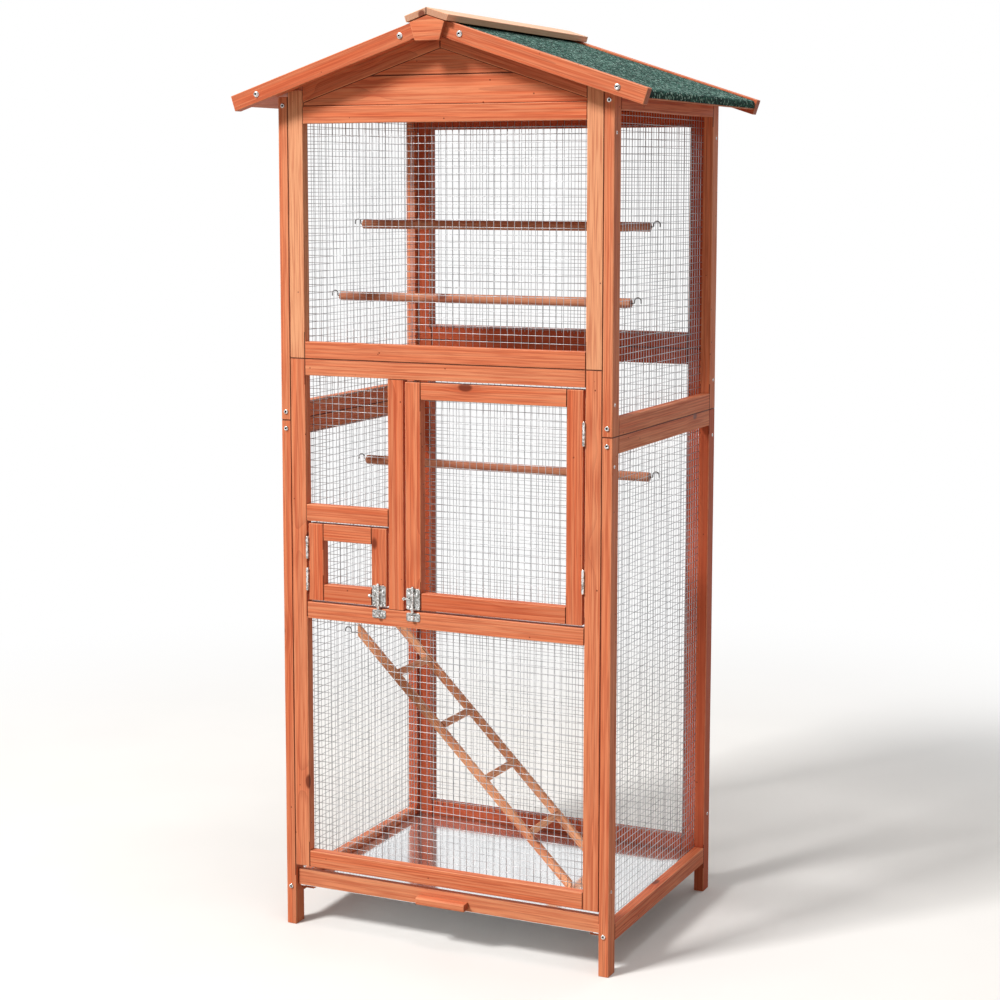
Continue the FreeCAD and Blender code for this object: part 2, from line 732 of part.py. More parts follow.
def make_hinges():
    gap = size.door_gap
    foot = BAY_SILL + gap
    big_top = BAY_TOP - gap
    small_top = WINDOW_RAIL - gap
    big_heights = (foot + size.big_hinge_rise, big_top - size.big_hinge_drop)
    small_heights = (foot + size.small_hinge_rise, small_top - size.small_hinge_drop)
    frame_leaves = []
    pins = []
    for door, pin_x, heights, frame_is_right in (
        ("big_door", BAY - gap / 2, big_heights, True),
        ("small_door", gap / 2 - BAY, small_heights, False),
    ):
        door_leaves = []
        for middle in heights:
            frame_leaf, door_leaf, pin = make_hinge(pin_x, middle, frame_is_right)
            frame_leaves.append(frame_leaf)
            door_leaves.append(door_leaf)
            pins.append(pin)
        node(door + "_hinge_leaves", door_leaves)
    node("frame_hinge_leaves", frame_leaves)
    node("hinge_pins", pins)


def strap_pieces(x, z, high):
    """A strap bent round the rod, as the pieces of its outside."""
    radius = size.rod_radius + size.strap_wall
    return [
        prism("StrapBow", radius, high, (x, ROD_Y, z)),
        block("StrapFoot", (x - radius, ROD_Y, z), (radius * 2, size.rod_stand, high)),
    ]


def strapped_plate(name, x, z, plate_high, straps, play):
    """A plate with straps for the rod."""
    corner = (x - size.latch_wide / 2, FRONT - size.plate_thick, z)
    pieces = [block("Plate", corner, (size.latch_wide, size.plate_thick, plate_high))]
    for strap_z, high in straps:
        pieces += strap_pieces(x, strap_z, high)
    hole = prism("RodHole", (size.rod_radius + play) * CORNER_SHARE, plate_high, (x, ROD_Y, z))
    return cut(name, fuse("PlateBlank", pieces), hole)


def make_bolt(door, x, foot):
    """A barrel bolt on the foot of a door: its plate, and the rod with its side knob."""
    straps = [(foot, size.strap_high), (foot + size.upper_strap_rise, size.strap_high)]
    plate = strapped_plate("LatchPlate", x, foot, size.latch_high, straps, size.rod_play)
    node(door + "_latch_plate", [plate])
    tip = BAY_SILL - size.keeper_drop + size.rod_tip_gap
    rod = cylinder("Rod", size.rod_radius, size.rod_length, (x, ROD_Y, tip))
    knob_z = foot + size.knob_rise
    grip_base = (x - size.knob_reach, ROD_Y, knob_z)
    stem = prism("KnobStem", size.knob_radius, size.knob_reach, (x, ROD_Y, knob_z), turn=TO_LEFT)
    grip = prism("KnobGrip", size.grip_radius, size.grip_long, grip_base, turn=TO_LEFT)
    node(door + "_bolt", [fuse("Bolt", [rod, stem, grip])])


def make_latches():
    """Both barrel bolts and the keepers on the rail below them."""
    foot = BAY_SILL + size.door_gap
    half_stile = size.batten_wide / 2
    places = (
        ("big_door", BIG_BAY_LEFT + size.door_gap + half_stile),
        ("small_door", SMALL_BAY_RIGHT - size.door_gap - half_stile),
    )
    keepers = []
    keeper_foot = BAY_SILL - size.keeper_drop - size.keeper_high
    strap = keeper_foot + (size.keeper_high - size.keeper_strap_high) / 2
    for door, x in places:
        make_bolt(door, x, foot)
        straps = [(strap, size.keeper_strap_high)]
        keepers.append(strapped_plate("Keeper", x, keeper_foot, size.keeper_high, straps, size.keeper_play))
    node("latch_keepers", keepers)


# The drawer

def make_tray_sheet():
    """The tray sheet: its sides and rear edge are folded under as a hem, which slides on the runners."""
    half = SIDE_NET - size.tray_clear
    front = FRONT + size.board_inset + size.board_thick - size.sheet_nail_land
    length = BACK - size.batten_thick - size.tray_back_clear - front
    body = document.addObject("PartDesign::Body", "TraySheet")
    pad = body.newObject("PartDesign::Pad", "TraySheetPad")
    pad.Profile = outline(body, "XY_Plane", [(0, 0), (half * 2, 0), (half * 2, length), (0, length)])
    bind(pad, Length=size.sheet_thick * 2)
    put(body, -half, front, SHEET_UNDER)
    document.recompute()
    before = pad.Shape.Volume
    hem = size.hem_wide
    inside = [(hem, 0), (half * 2 - hem, 0), (half * 2 - hem, length - hem), (hem, length - hem)]
    pocket = body.newObject("PartDesign::Pocket", "TraySheetPocket")
    pocket.Profile = outline(body, "XY_Plane", inside)
    pocket.Reversed = True
    bind(pocket, Length=size.sheet_thick)
    body.Tip = pocket
    document.recompute()
    expected = ((half * 2 - hem * 2) * (length - hem) * size.sheet_thick).value
    removed = before - pocket.Shape.Volume
    if abs(removed - expected) > expected / 1000:
        raise ValueError("the tray's hem wasn't cut: %.0f of %.0f" % (removed, expected))
    node("tray_sheet", [body])


def make_tray():
    """The drawer: its sheet, front board, handle block and the runners that carry it."""
    make_tray_sheet()
    half = INNER - size.board_clear
    board_y = FRONT + size.board_inset
    corner = (-half, board_y, SHEET_TOP)
    node("tray_front_board", [block("FrontBoard", corner, (half * 2, size.board_thick, size.board_high))])
    deep = size.handle_deep
    high = size.handle_high
    ease = size.handle_chamfer
    body = document.addObject("PartDesign::Body", "Handle")
    pad = body.newObject("PartDesign::Pad", "HandlePad")
    points = [(0, ease), (ease, 0), (deep, 0), (deep, high), (ease, high), (0, high - ease)]
    pad.Profile = outline(body, "YZ_Plane", points)
    bind(pad, Length=size.handle_long)
    body.Tip = pad
    node("tray_handle", [put(body, -size.handle_long / 2, board_y - deep, SHEET_TOP + size.handle_rise)])
    runner_y = FRONT + size.runner_inset
    runner_long = BACK - size.batten_thick - runner_y
    runner_z = size.side_foot + size.runner_rise
    lengths = (size.runner_wide, runner_long, size.runner_high)
    runner_places = (-INNER, INNER - size.runner_wide)
    node("tray_runners", [block("Runner", (x, runner_y, runner_z), lengths) for x in runner_places])


# The perches, the ladder and their hooks

def hook_shape(stem):
    """A wire hook in the XZ plane, from its root at the origin towards -X: stem, elbow and crook."""
    bend = size.hook_bend.value
    rise = size.hook_rise.value
    crook = size.hook_radius.value
    half = math.sqrt(0.5)
    elbow_start = Vector(bend - stem, 0, 0)
    elbow_middle = Vector(bend - stem - bend * half, 0, bend - bend * half)
    elbow_end = Vector(-stem, 0, bend)
    crook_start = Vector(-stem, 0, rise)
    crook_top = Vector(-stem - crook, 0, rise + crook)
    crook_end = Vector(-stem - crook * 2, 0, rise)
    point = Vector(-stem - crook * 2, 0, 0)
    path = Part.Wire([
        Part.makeLine(Vector(), elbow_start),
        Part.Arc(elbow_start, elbow_middle, elbow_end).toShape(),
        Part.makeLine(elbow_end, crook_start),
        Part.Arc(crook_start, crook_top, crook_end).toShape(),
        Part.makeLine(crook_end, point),
    ])
    corners = []
    for index in range(WIRE_FACETS + 1):
        turn = FreeCAD.Rotation(Vector(1, 0, 0), 360 / WIRE_FACETS * index)
        corners.append(turn.multVec(Vector(0, 0, size.hook_wire.value)))
    return path.makePipeShell([Part.makePolygon(corners)], True, False)


def hooks(label, ends, stem):
    """Hooks at several roots; a root on the right is turned about the upright."""
    shape = hook_shape(stem.value)
    placed = []
    for x, y, z in ends:
        turn = FreeCAD.Rotation(Vector(0, 0, 1), 0 if x.value < 0 else 180)
        twin = shape.copy()
        twin.Placement = FreeCAD.Placement(Vector(x.value, y.value, z.value), turn)
        placed.append(twin)
    node(label, [feature("Hooks", Part.makeCompound(placed))])


def make_perch(name, y, z):
    """A dowel with a hook in each end."""
    half = SIDE_NET - size.perch_end_gap
    node(name, [cylinder("Perch", size.perch_radius, half * 2, (-half, y, z), turn=TO_RIGHT)])
    hooks(name + "_hooks", [(-half, y, z), (half, y, z)], HOOK_STEM_END - half)


def make_perches():
    top_y = FRONT + size.top_perch_back
    make_perch("top_perch", top_y, TOP_PERCH)
    middle = TOP_PERCH - size.side_net_rise * size.middle_perch_rows
    make_perch("middle_perch", top_y - size.middle_perch_forward, middle)
    make_perch("lower_perch", FRONT + size.lower_perch_back, LOWER_PERCH)


def make_ladder():
    """Two rails lean from the side mesh down to the tray, with rungs let in flush with their top edges."""
    hook_z = LOWER_PERCH - size.side_net_rise * size.ladder_rows
    top_z = hook_z - size.ladder_hook_inset
    upright = size.ladder_rail_wide * square_root(measure(2))
    floor = SHEET_TOP + size.seat_gap
    run = top_z - floor
    toe = run + size.ladder_toe
    points = [
        (0, top_z),
        (run, floor),
        (toe, floor),
        (toe, top_z + upright - toe),
        (0, top_z + upright),
    ]
    x = size.ladder_top - SIDE_NET
    near = FRONT + size.ladder_near_rail
    thick = size.ladder_rail_thick
    inside = near + thick
    far = inside + size.ladder_inside
    node("ladder_rails", [profile("LadderRail", points, y, thick, x=x) for y in (near, far)])
    rungs = []
    half_step = size.rung_wide / square_root(measure(8))
    pitch = (run - size.rung_first - size.rung_last) / (RUNG_COUNT - 1)
    for index in range(RUNG_COUNT):
        along = size.rung_first + pitch * index
        rung = document.addObject("Part::Box", "Rung")
        rung.Placement = FreeCAD.Placement(Vector(), FreeCAD.Rotation(Vector(0, 1, 0), SLOPE_OF_LADDER))
        bind(rung, Length=size.rung_wide, Width=size.ladder_inside, Height=size.rung_thick)
        drop = size.rung_thick / square_root(measure(2))
        edge_z = top_z + upright - along
        put(rung, x + along - half_step - drop, inside, edge_z + half_step - drop)
        rungs.append(rung)
    node("ladder_rungs", rungs)
    ends = [(x, y + thick / 2, hook_z) for y in (near, far)]
    hooks("ladder_hooks", ends, x + HOOK_STEM_END)


# The bolts that hold the frame together

def bolt_head(washer):
    """A round head with a hexagon socket, on a washer or straight on the wood; its seat is at the origin."""
    top = size.bolt_high
    pieces = []
    if washer:
        top = top + size.washer_thick
        pieces.append(prism("Washer", size.washer_radius, size.washer_thick, (0, 0, 0)))
    pieces.append(prism("BoltBody", size.bolt_radius, top, (0, 0, 0)))
    blank = fuse("BoltBlank", pieces) if washer else pieces[0]
    deep = size.socket_deep
    socket = prism("Socket", size.socket_radius, deep, (0, 0, top - deep), SOCKET_FACETS)
    return cut("BoltHead", blank, socket)


def facing(x, y, z, front):
    """Where a head sits on a face that looks to the front or to the back."""
    turn = FreeCAD.Rotation(Vector(1, 0, 0), 90 if front else -90)
    return FreeCAD.Placement(Vector(x.value, y.value, z.value), turn)


def make_bolts():
    """Heads of the bolts through the legs into the side rails, and of those through the barge boards."""
    half_batten = size.batten_wide / 2
    joint = size.lower_side_height
    heights = (size.side_foot + half_batten, joint - half_batten, joint + half_batten, LEG_TOP - half_batten)
    places = []
    for x in (LEFT + size.batten_thick / 2, HALF - size.batten_thick / 2):
        for z in heights:
            places.append(facing(x, FRONT, z, True))
            places.append(facing(x, BACK, z, False))
    node("frame_bolts", [copies("FrameBolts", bolt_head(False), places)])
    front_face = FRONT - size.front_overhang - size.barge_thick
    rear_face = BACK + size.rear_overhang + size.barge_thick
    middle = BARGE_TOP - size.barge_wide * SLANT / 2
    places = []
    for side in (-1, 1):
        for x in (size.inner_bolt, size.outer_bolt):
            places.append(facing(x * side, front_face, roof_line(middle, x), True))
            places.append(facing(x * side, rear_face, roof_line(middle, x), False))
    node("barge_bolts", [copies("BargeBolts", bolt_head(True), places)])


HOOK_STEM_END = SIDE_NET + size.net_thick / 2 - size.hook_radius

make_sides()
make_front()
make_back()
make_door(
    "big_door",
    BIG_BAY_LEFT + size.door_gap,
    BAY - size.door_gap,
    BAY_SILL + size.door_gap,
    BAY_TOP - size.door_gap,
)
make_door(
    "small_door",
    size.door_gap - BAY,
    SMALL_BAY_RIGHT - size.door_gap,
    BAY_SILL + size.door_gap,
    WINDOW_RAIL - size.door_gap,
)
make_gables()
make_roof()
make_nets()
make_hinges()
make_latches()
make_tray()
make_perches()
make_ladder()
make_bolts()
document.recompute()


# Checks and files

for thing in document.Objects:
    if "Invalid" in thing.State or "Error" in thing.State:
        raise ValueError("%s failed: %s" % (thing.Label, thing.State))
for sub_part in nodes:
    if sub_part.Shape.isNull() or not sub_part.Shape.isValid():
        raise ValueError("%s has no sound shape" % sub_part.Label)

os.makedirs("parts", exist_ok=True)
solids = 0
for sub_part in nodes:
    sub_part.Shape.exportStep("parts/%s.step" % sub_part.Label)
    solids += len(sub_part.Shape.Solids)
print("%d sub-parts, %d solids" % (len(nodes), solids))
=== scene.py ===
# %% [markdown]
# A wooden macaw cage, dressed for its portrait.
# The construction comes packed from the workshop: every batten, hinge and hook is already in its place
# and at its real size. This lesson gives each of them its surface: stained fir, welded wire, mineral
# felt, zinc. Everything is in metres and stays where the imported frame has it.

# %% Load the frame
import json
import math
import random

import bmesh
import bpy
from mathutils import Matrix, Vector
from mathutils.bvhtree import BVHTree

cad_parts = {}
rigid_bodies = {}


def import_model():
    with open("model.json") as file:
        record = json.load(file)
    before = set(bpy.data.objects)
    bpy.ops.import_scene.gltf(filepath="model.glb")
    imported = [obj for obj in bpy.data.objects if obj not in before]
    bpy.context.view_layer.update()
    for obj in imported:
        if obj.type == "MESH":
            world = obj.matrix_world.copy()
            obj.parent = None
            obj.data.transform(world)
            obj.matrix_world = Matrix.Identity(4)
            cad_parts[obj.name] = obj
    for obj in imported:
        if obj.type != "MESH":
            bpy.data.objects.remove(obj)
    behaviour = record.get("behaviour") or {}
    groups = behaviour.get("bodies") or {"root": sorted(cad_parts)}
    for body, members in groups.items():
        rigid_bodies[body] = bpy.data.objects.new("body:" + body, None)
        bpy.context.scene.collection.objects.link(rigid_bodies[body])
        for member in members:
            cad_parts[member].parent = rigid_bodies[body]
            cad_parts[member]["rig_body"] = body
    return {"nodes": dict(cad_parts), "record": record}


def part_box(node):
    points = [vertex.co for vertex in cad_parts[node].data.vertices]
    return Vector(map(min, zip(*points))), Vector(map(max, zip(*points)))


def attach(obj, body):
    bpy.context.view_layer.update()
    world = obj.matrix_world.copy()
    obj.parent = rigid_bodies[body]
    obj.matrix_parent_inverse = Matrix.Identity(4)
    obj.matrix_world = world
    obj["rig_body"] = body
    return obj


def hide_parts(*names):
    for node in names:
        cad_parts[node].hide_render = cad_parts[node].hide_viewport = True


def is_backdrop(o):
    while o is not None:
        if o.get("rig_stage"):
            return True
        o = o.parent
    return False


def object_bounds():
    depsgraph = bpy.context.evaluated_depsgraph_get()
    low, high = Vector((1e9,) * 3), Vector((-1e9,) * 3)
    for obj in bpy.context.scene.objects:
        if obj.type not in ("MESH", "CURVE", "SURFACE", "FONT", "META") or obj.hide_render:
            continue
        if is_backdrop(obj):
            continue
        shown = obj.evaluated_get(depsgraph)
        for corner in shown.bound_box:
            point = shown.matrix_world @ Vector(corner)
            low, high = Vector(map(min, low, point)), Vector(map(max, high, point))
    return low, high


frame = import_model()
cad_low, cad_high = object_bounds()
MM = 0.001
slots = {row["node"]: row["material_slot"] for row in frame["record"]["subparts"]}
print("nodes", len(frame["nodes"]), "box", [round(side, 3) for side in cad_high - cad_low])


# %% [markdown]
# Shader sums are easier to read as sums. A socket of a node is wrapped in a small class whose plus, minus
# and times signs add the Math nodes, so a finish can be written the way a recipe is. Any other node comes
# from one method, `add`: first the kind, then its settings, then what its sockets hold or are linked to.

# %% Sums of sockets
class Value:
    """One output socket, used like a number."""

    def __init__(self, finish, socket):
        self.finish = finish
        self.socket = socket

    def __add__(self, other):
        return self.finish.sum("ADD", self, other)

    def __radd__(self, other):
        return self.finish.sum("ADD", other, self)

    def __sub__(self, other):
        return self.finish.sum("SUBTRACT", self, other)

    def __rsub__(self, other):
        return self.finish.sum("SUBTRACT", other, self)

    def __mul__(self, other):
        return self.finish.sum("MULTIPLY", self, other)

    def __rmul__(self, other):
        return self.finish.sum("MULTIPLY", other, self)

    def __truediv__(self, other):
        return self.finish.sum("DIVIDE", self, other)

    def __pow__(self, other):
        return self.finish.sum("POWER", self, other)


def named_socket(sockets, key):
    """A socket by its number, its identifier or its name."""
    if isinstance(key, int):
        return sockets[key]
    return next(socket for socket in sockets if key in (socket.identifier, socket.name))


def set_stops(ramp, stops):
    """Puts the stops of a colour ramp at their places."""
    while len(ramp.elements) < len(stops):
        ramp.elements.new(1)
    for element, (place, colour) in zip(ramp.elements, stops):
        element.position = place
        element.color = (*colour, 1)


print("sums ready")


# %% [markdown]
# A finish is one material. Its `feed` puts a number, a colour or a link on a socket, so the same call
# serves for a constant gloss and for a gloss that varies over the surface.

# %% A finish and its nodes
class Finish:
    """A material and the nodes that make it."""

    def __init__(self, name):
        self.material = bpy.data.materials.new(name)
        self.material.use_nodes = True
        self.tree = self.material.node_tree
        self.shader = self.tree.nodes["Principled BSDF"]

    def add(self, kind, settings=None, sockets=None, out=0):
        """Adds a node: its settings first, then its sockets. Returns one of its outputs."""
        node = self.tree.nodes.new(kind)
        for key, setting in (settings or {}).items():
            if key == "stops":
                set_stops(node.color_ramp, setting)
            else:
                setattr(node, key, setting)
        for key, value in (sockets or {}).items():
            self.feed(named_socket(node.inputs, key), value)
        return Value(self, named_socket(node.outputs, out))

    def feed(self, socket, value):
        """Links a value to a socket, or writes a constant on it."""
        if isinstance(value, Value):
            self.tree.links.new(value.socket, socket)
        elif socket.type == "RGBA":
            socket.default_value = (*value, 1)
        else:
            socket.default_value = value

    def surface(self, **values):
        """Feeds the shader's own sockets, written with underscores for spaces."""
        for key, value in values.items():
            self.feed(self.shader.inputs[key.replace("_", " ")], value)

    def sum(self, operation, first, second):
        return self.add("ShaderNodeMath", {"operation": operation}, {0: first, 1: second})

    def part_of_one(self, value):
        """What is left of a number over its whole part, which turns a slope into repeating ramps."""
        return self.add("ShaderNodeMath", {"operation": "FRACT"}, {0: value})

    def ramp(self, value, low, high, start=0.0, end=1.0):
        """Runs smoothly from start to end while the value goes from low to high."""
        sockets = {"Value": value, "From Min": low, "From Max": high, "To Min": start, "To Max": end}
        return self.add("ShaderNodeMapRange", {"interpolation_type": "SMOOTHSTEP"}, sockets, "Result")

    def blend(self, share, first, second):
        """Goes from the first colour to the second."""
        sockets = {"Factor_Float": share, "A_Color": first, "B_Color": second}
        return self.add("ShaderNodeMix", {"data_type": "RGBA"}, sockets, "Result_Color")

    def stretch(self, vector, factors):
        """A vector with each of its parts multiplied."""
        return self.add("ShaderNodeVectorMath", {"operation": "MULTIPLY"}, {0: vector, 1: factors})

    def parts(self, vector):
        """The three parts of a vector."""
        node = self.add("ShaderNodeSeparateXYZ", sockets={0: vector}).socket.node
        return [Value(self, output) for output in node.outputs]

    def cloud(self, vector, factors=(1, 1, 1), detail=2.0, out="Fac"):
        """Noise over a stretched vector, with about one cloud to each unit."""
        sockets = {"Vector": self.stretch(vector, factors), "Scale": 1.0, "Detail": detail}
        return self.add("ShaderNodeTexNoise", sockets=sockets, out=out)

    def cells(self, vector, scale, out="Distance"):
        """Distance from scattered points, or the colour of each point's cell."""
        return self.add("ShaderNodeTexVoronoi", sockets={"Vector": vector, "Scale": scale}, out=out)

    def relief(self, height, depth, strength=1.0):
        """A bump that stands as high as the depth says."""
        sockets = {"Height": height, "Distance": depth, "Strength": strength}
        return self.add("ShaderNodeBump", sockets=sockets, out="Normal")

    def place(self):
        """Where a point of the surface is, in metres."""
        return self.add("ShaderNodeTexCoord", out="Object")


print("finish ready")


# %% [markdown]
# Stained fir. A batten is a piece out of a round trunk, so its figure is the trunk's rings cut by its
# faces: straight lines where a face cuts them square, flames where it only grazes them. A wave texture
# along one axis would look like wallpaper that turns the corner wrongly. So every batten gets its own
# trunk: an attribute named grain says how far along the batten a point is and where it lies beside the
# trunk's heart. Rings are then whole numbers of the distance from the heart, and the end of a batten
# shows arcs by itself. Streaks, fibres and flecks are clouds drawn out along the batten, so many to a
# metre along it, across it and into it. Another attribute, marks, holds the batten's tone, its arrises
# and its ends. A tone above nothing is faded, and on the ladder it is also painted light; one below it
# has drunk more stain, and on the rear battens it is painted shade. A blend takes no share below nothing,
# so each sign feeds its own blend. An arris is 1 where it is open and rubbed pale, and -1 where it meets
# a neighbour and holds a dark line of painted shade.

# %% Stained fir
RING = 4.4 * MM
WANDER = 9 * MM
KNOTS_PER_METRE = 11.0
KNOT_STRETCH = (0.55, 1.0, 1.0)
KNOT_SHARE = 0.10
SWIRL_SHARE = 0.36
PIN_KNOTS_PER_METRE = 34.0
PIN_KNOT_SHARE = 0.062
FIR_PALE = (0.79, 0.200, 0.085)
FIR_DEEP = (0.44, 0.068, 0.027)
FIR_FADED = (0.88, 0.45, 0.25)
FIR_RUBBED = (0.90, 0.40, 0.22)
FIR_KNOT = (0.15, 0.026, 0.012)
# Near black, painted shade in the valley where two battens meet.
FIR_JOINT_SHADE = (0.070, 0.015, 0.009)
DOWEL_PALE = (0.60, 0.23, 0.14)
DOWEL_DEEP = (0.38, 0.10, 0.06)
# The ridge boards are paler planed fir, and their colours are raised further as painted light for sky light
# on their unlit side.
RIDGE_PALE_SKYLIT = (0.97, 0.64, 0.46)
RIDGE_DEEP_SKYLIT = (0.86, 0.44, 0.28)
HEART_BENDS = (1.1, 0, 0)
RIPPLES = (2.2, 45, 45)
STREAKS = (1.5, 170, 170)
FIBRES = (10, 400, 400)
FLECKS = (70, 2600, 2600)
BLOTCHES = (3.5, 30, 30)
STREAK_RANGE = (0.36, 0.64)
BLOTCH_RANGE = (0.38, 0.66)
FIBRE_RANGE = (0.42, 0.66)
FLECK_RANGE = (0.35, 0.65)
RUBBED_SHARES = (0.25, 0.7)
KNOT_HEART = 0.6
RIPPLE_SHARE = 0.7
SWIRL_TURN = 0.9
LATE_POWER = 2.4
LATE_SHARE = 0.66
STREAK_SHARE = 0.28
BLOTCH_SHARE = 0.16
FIBRE_SHARE = 0.50
SWIRL_STAIN = 0.34
END_STAIN = 0.42
JOINT_SHADE = 0.85
KNOT_STAIN = 0.85
PIN_KNOT_STAIN = 0.80
FIBRE_RISE = 0.6
LATE_RISE = 0.5
FLECK_RISE = 0.35
KNOT_DIP = 0.8
WOOD_RELIEF = 0.45 * MM
WOOD_STRENGTH = 0.55
WOOD_SPECULAR = 0.14
FIR_ROUGH = 0.40
PLANED_ROUGH = 0.42
FIBRE_ROUGH = 0.22
KNOT_GLOSS = 0.12


def ring_figure(wood, grain, swirl):
    """Growth rings round a heart that wanders: 0 in the soft early wood, 1 in the hard late wood."""
    along, across, inward = wood.parts(grain)
    wander = wood.parts(wood.cloud(grain, HEART_BENDS, 1.0, "Color"))
    across = across + (wander[0] - 0.5) * WANDER
    inward = inward + (wander[1] - 0.5) * WANDER
    heart = (across * across + inward * inward) ** 0.5
    ripple = wood.cloud(grain, RIPPLES, 1.0) * RIPPLE_SHARE
    return wood.part_of_one(heart / RING + ripple + swirl * SWIRL_TURN) ** LATE_POWER


def wood_finish(name, pale, deep, rough):
    """Fir under a thin stain, with fibres, knots, blotches and rubbed arrises."""
    wood = Finish(name)
    grain = wood.add("ShaderNodeAttribute", {"attribute_name": "grain"}, out="Vector")
    marks = wood.add("ShaderNodeAttribute", {"attribute_name": "marks"}, out="Vector")
    tone, arris, end = wood.parts(marks)
    rubbed = wood.ramp(arris, 0.0, 1.0)
    joint_shade = wood.ramp(arris, 0.0, -1.0)
    near_knot = wood.cells(wood.stretch(grain, KNOT_STRETCH), KNOTS_PER_METRE)
    knot = wood.ramp(near_knot, KNOT_SHARE, KNOT_SHARE * KNOT_HEART)
    swirl = wood.ramp(near_knot, SWIRL_SHARE, KNOT_SHARE * 0.5)
    near_pin = wood.cells(grain, PIN_KNOTS_PER_METRE)
    pin_knot = wood.ramp(near_pin, PIN_KNOT_SHARE, PIN_KNOT_SHARE * KNOT_HEART)
    late = ring_figure(wood, grain, swirl)
    streaks = wood.ramp(wood.cloud(grain, STREAKS, 2.0), *STREAK_RANGE)
    fibres = wood.cloud(grain, FIBRES, 3.0)
    flecks = wood.cloud(grain, FLECKS, 1.0)
    blotches = wood.ramp(wood.cloud(grain, BLOTCHES, 2.0), *BLOTCH_RANGE)
    stain = wood.blend(late * LATE_SHARE, pale, deep)
    stain = wood.blend(streaks * STREAK_SHARE, stain, FIR_FADED)
    stain = wood.blend(blotches * BLOTCH_SHARE, stain, FIR_FADED)
    stain = wood.blend(tone, stain, FIR_FADED)
    stain = wood.blend(tone * -1.0, stain, deep)
    stain = wood.blend(wood.ramp(fibres, *FIBRE_RANGE, 0.0, FIBRE_SHARE), stain, deep)
    stain = wood.blend(swirl * SWIRL_STAIN, stain, deep)
    stain = wood.blend(end * END_STAIN, stain, FIR_KNOT)
    stain = wood.blend(rubbed * wood.ramp(flecks, *FLECK_RANGE, *RUBBED_SHARES), stain, FIR_RUBBED)
    # Painted shade: a dark line along arrises that meet a neighbouring batten.
    stain = wood.blend(joint_shade * JOINT_SHADE, stain, FIR_JOINT_SHADE)
    stain = wood.blend(knot * KNOT_STAIN, stain, FIR_KNOT)
    stain = wood.blend(pin_knot * PIN_KNOT_STAIN, stain, FIR_KNOT)
    height = fibres * FIBRE_RISE + late * LATE_RISE + flecks * FLECK_RISE
    height = height - knot * KNOT_DIP - pin_knot * KNOT_DIP
    wood.surface(
        Base_Color=stain,
        Specular_IOR_Level=WOOD_SPECULAR,
        Roughness=rough + fibres * FIBRE_ROUGH - knot * KNOT_GLOSS,
        Normal=wood.relief(height, WOOD_RELIEF, WOOD_STRENGTH),
    )
    return wood.material


finishes = {
    "stained_fir": wood_finish("stained fir", FIR_PALE, FIR_DEEP, FIR_ROUGH),
    "perch_dowel": wood_finish("dowel", DOWEL_PALE, DOWEL_DEEP, PLANED_ROUGH),
    "ridge_board": wood_finish("ridge fir", RIDGE_PALE_SKYLIT, RIDGE_DEEP_SKYLIT, PLANED_ROUGH),
}
print("wood finishes", sorted(finishes))


# %% [markdown]
# Mineral felt is bitumen with crushed slate rolled into it. Seen close it is a crowd of flat chips, here
# about three millimetres across, most of them dark green, some pale, some nearly black. Cells give the
# chips, one colour to each; a noise would give soft clouds, which no slate has. The chips stand proud, so
# they also make the relief.

# %% Mineral felt
CHIPS_PER_METRE = 300.0
CHIP_STOPS = [
    (0.00, (0.003, 0.009, 0.009)),
    (0.32, (0.008, 0.038, 0.031)),
    (0.58, (0.026, 0.110, 0.084)),
    (0.76, (0.066, 0.195, 0.155)),
    (0.86, (0.400, 0.600, 0.540)),
]
BITUMEN = (0.012, 0.02, 0.018)
BITUMEN_RANGE = (0.45, 0.75)
BITUMEN_SHARE = 0.7
FELT_WEAR = (9, 9, 9)
CHIP_SPREAD = 0.92
WEAR_SPREAD = 0.28
CHIP_DOME = 0.9
CHIP_RELIEF = 0.7 * MM
CHIP_STRENGTH = 0.8
FELT_SPECULAR = 0.1
FELT_ROUGH = 0.72
CHIP_ROUGH = 0.22


def felt_finish():
    """Slate chips, each with its own colour and height, and bitumen between them."""
    felt = Finish("mineral felt")
    place = felt.place()
    chip = felt.parts(felt.cells(place, CHIPS_PER_METRE, "Color"))
    nearness = felt.cells(place, CHIPS_PER_METRE)
    worn = felt.cloud(place, FELT_WEAR, 3.0)
    shade = chip[0] * CHIP_SPREAD + (worn - 0.5) * WEAR_SPREAD
    chips = felt.add("ShaderNodeValToRGB", {"stops": CHIP_STOPS}, {"Fac": shade}, "Color")
    between = felt.ramp(nearness, *BITUMEN_RANGE, 0.0, BITUMEN_SHARE)
    felt.surface(
        Base_Color=felt.blend(between, chips, BITUMEN),
        Specular_IOR_Level=FELT_SPECULAR,
        Roughness=FELT_ROUGH + chip[1] * CHIP_ROUGH,
        Normal=felt.relief(chip[2] - nearness * CHIP_DOME, CHIP_RELIEF, CHIP_STRENGTH),
    )
    return felt.material


finishes["green_felt"] = felt_finish()
print("chips across the roof", round(CHIPS_PER_METRE * (cad_high.y - cad_low.y)))


# %% [markdown]
# Galvanised wire and zinc plate are the same metal in two dresses. Hot zinc on wire sets in dull
# spangles, so the wire is grey and rough; plated fittings stay smoother, and go dull in patches where
# they are handled. The sockets and crosses of the screws are darkened with painted shade: their faces are
# marked as ends are on a batten. The hooks are bare steel wire, dark and dull. The drawer's sheet is bright
# rolled metal: almost a mirror, with fine rolling lines along its length.

# %% Wire and hooks
ZINC_PALE = (0.50, 0.51, 0.53)
ZINC_DULL = (0.33, 0.34, 0.36)
STEEL_PALE = (0.13, 0.125, 0.12)
STEEL_DULL = (0.06, 0.058, 0.055)
SPANGLES_PER_METRE = 260.0
WIRE_PATCHES = (35, 35, 35)
PATCH_RANGE = (0.35, 0.7)
SPANGLE_RELIEF = 0.08 * MM
ZINC_METAL = 0.75
STEEL_METAL = 0.6
WIRE_ROUGH = 0.34
PATCH_ROUGH = 0.22


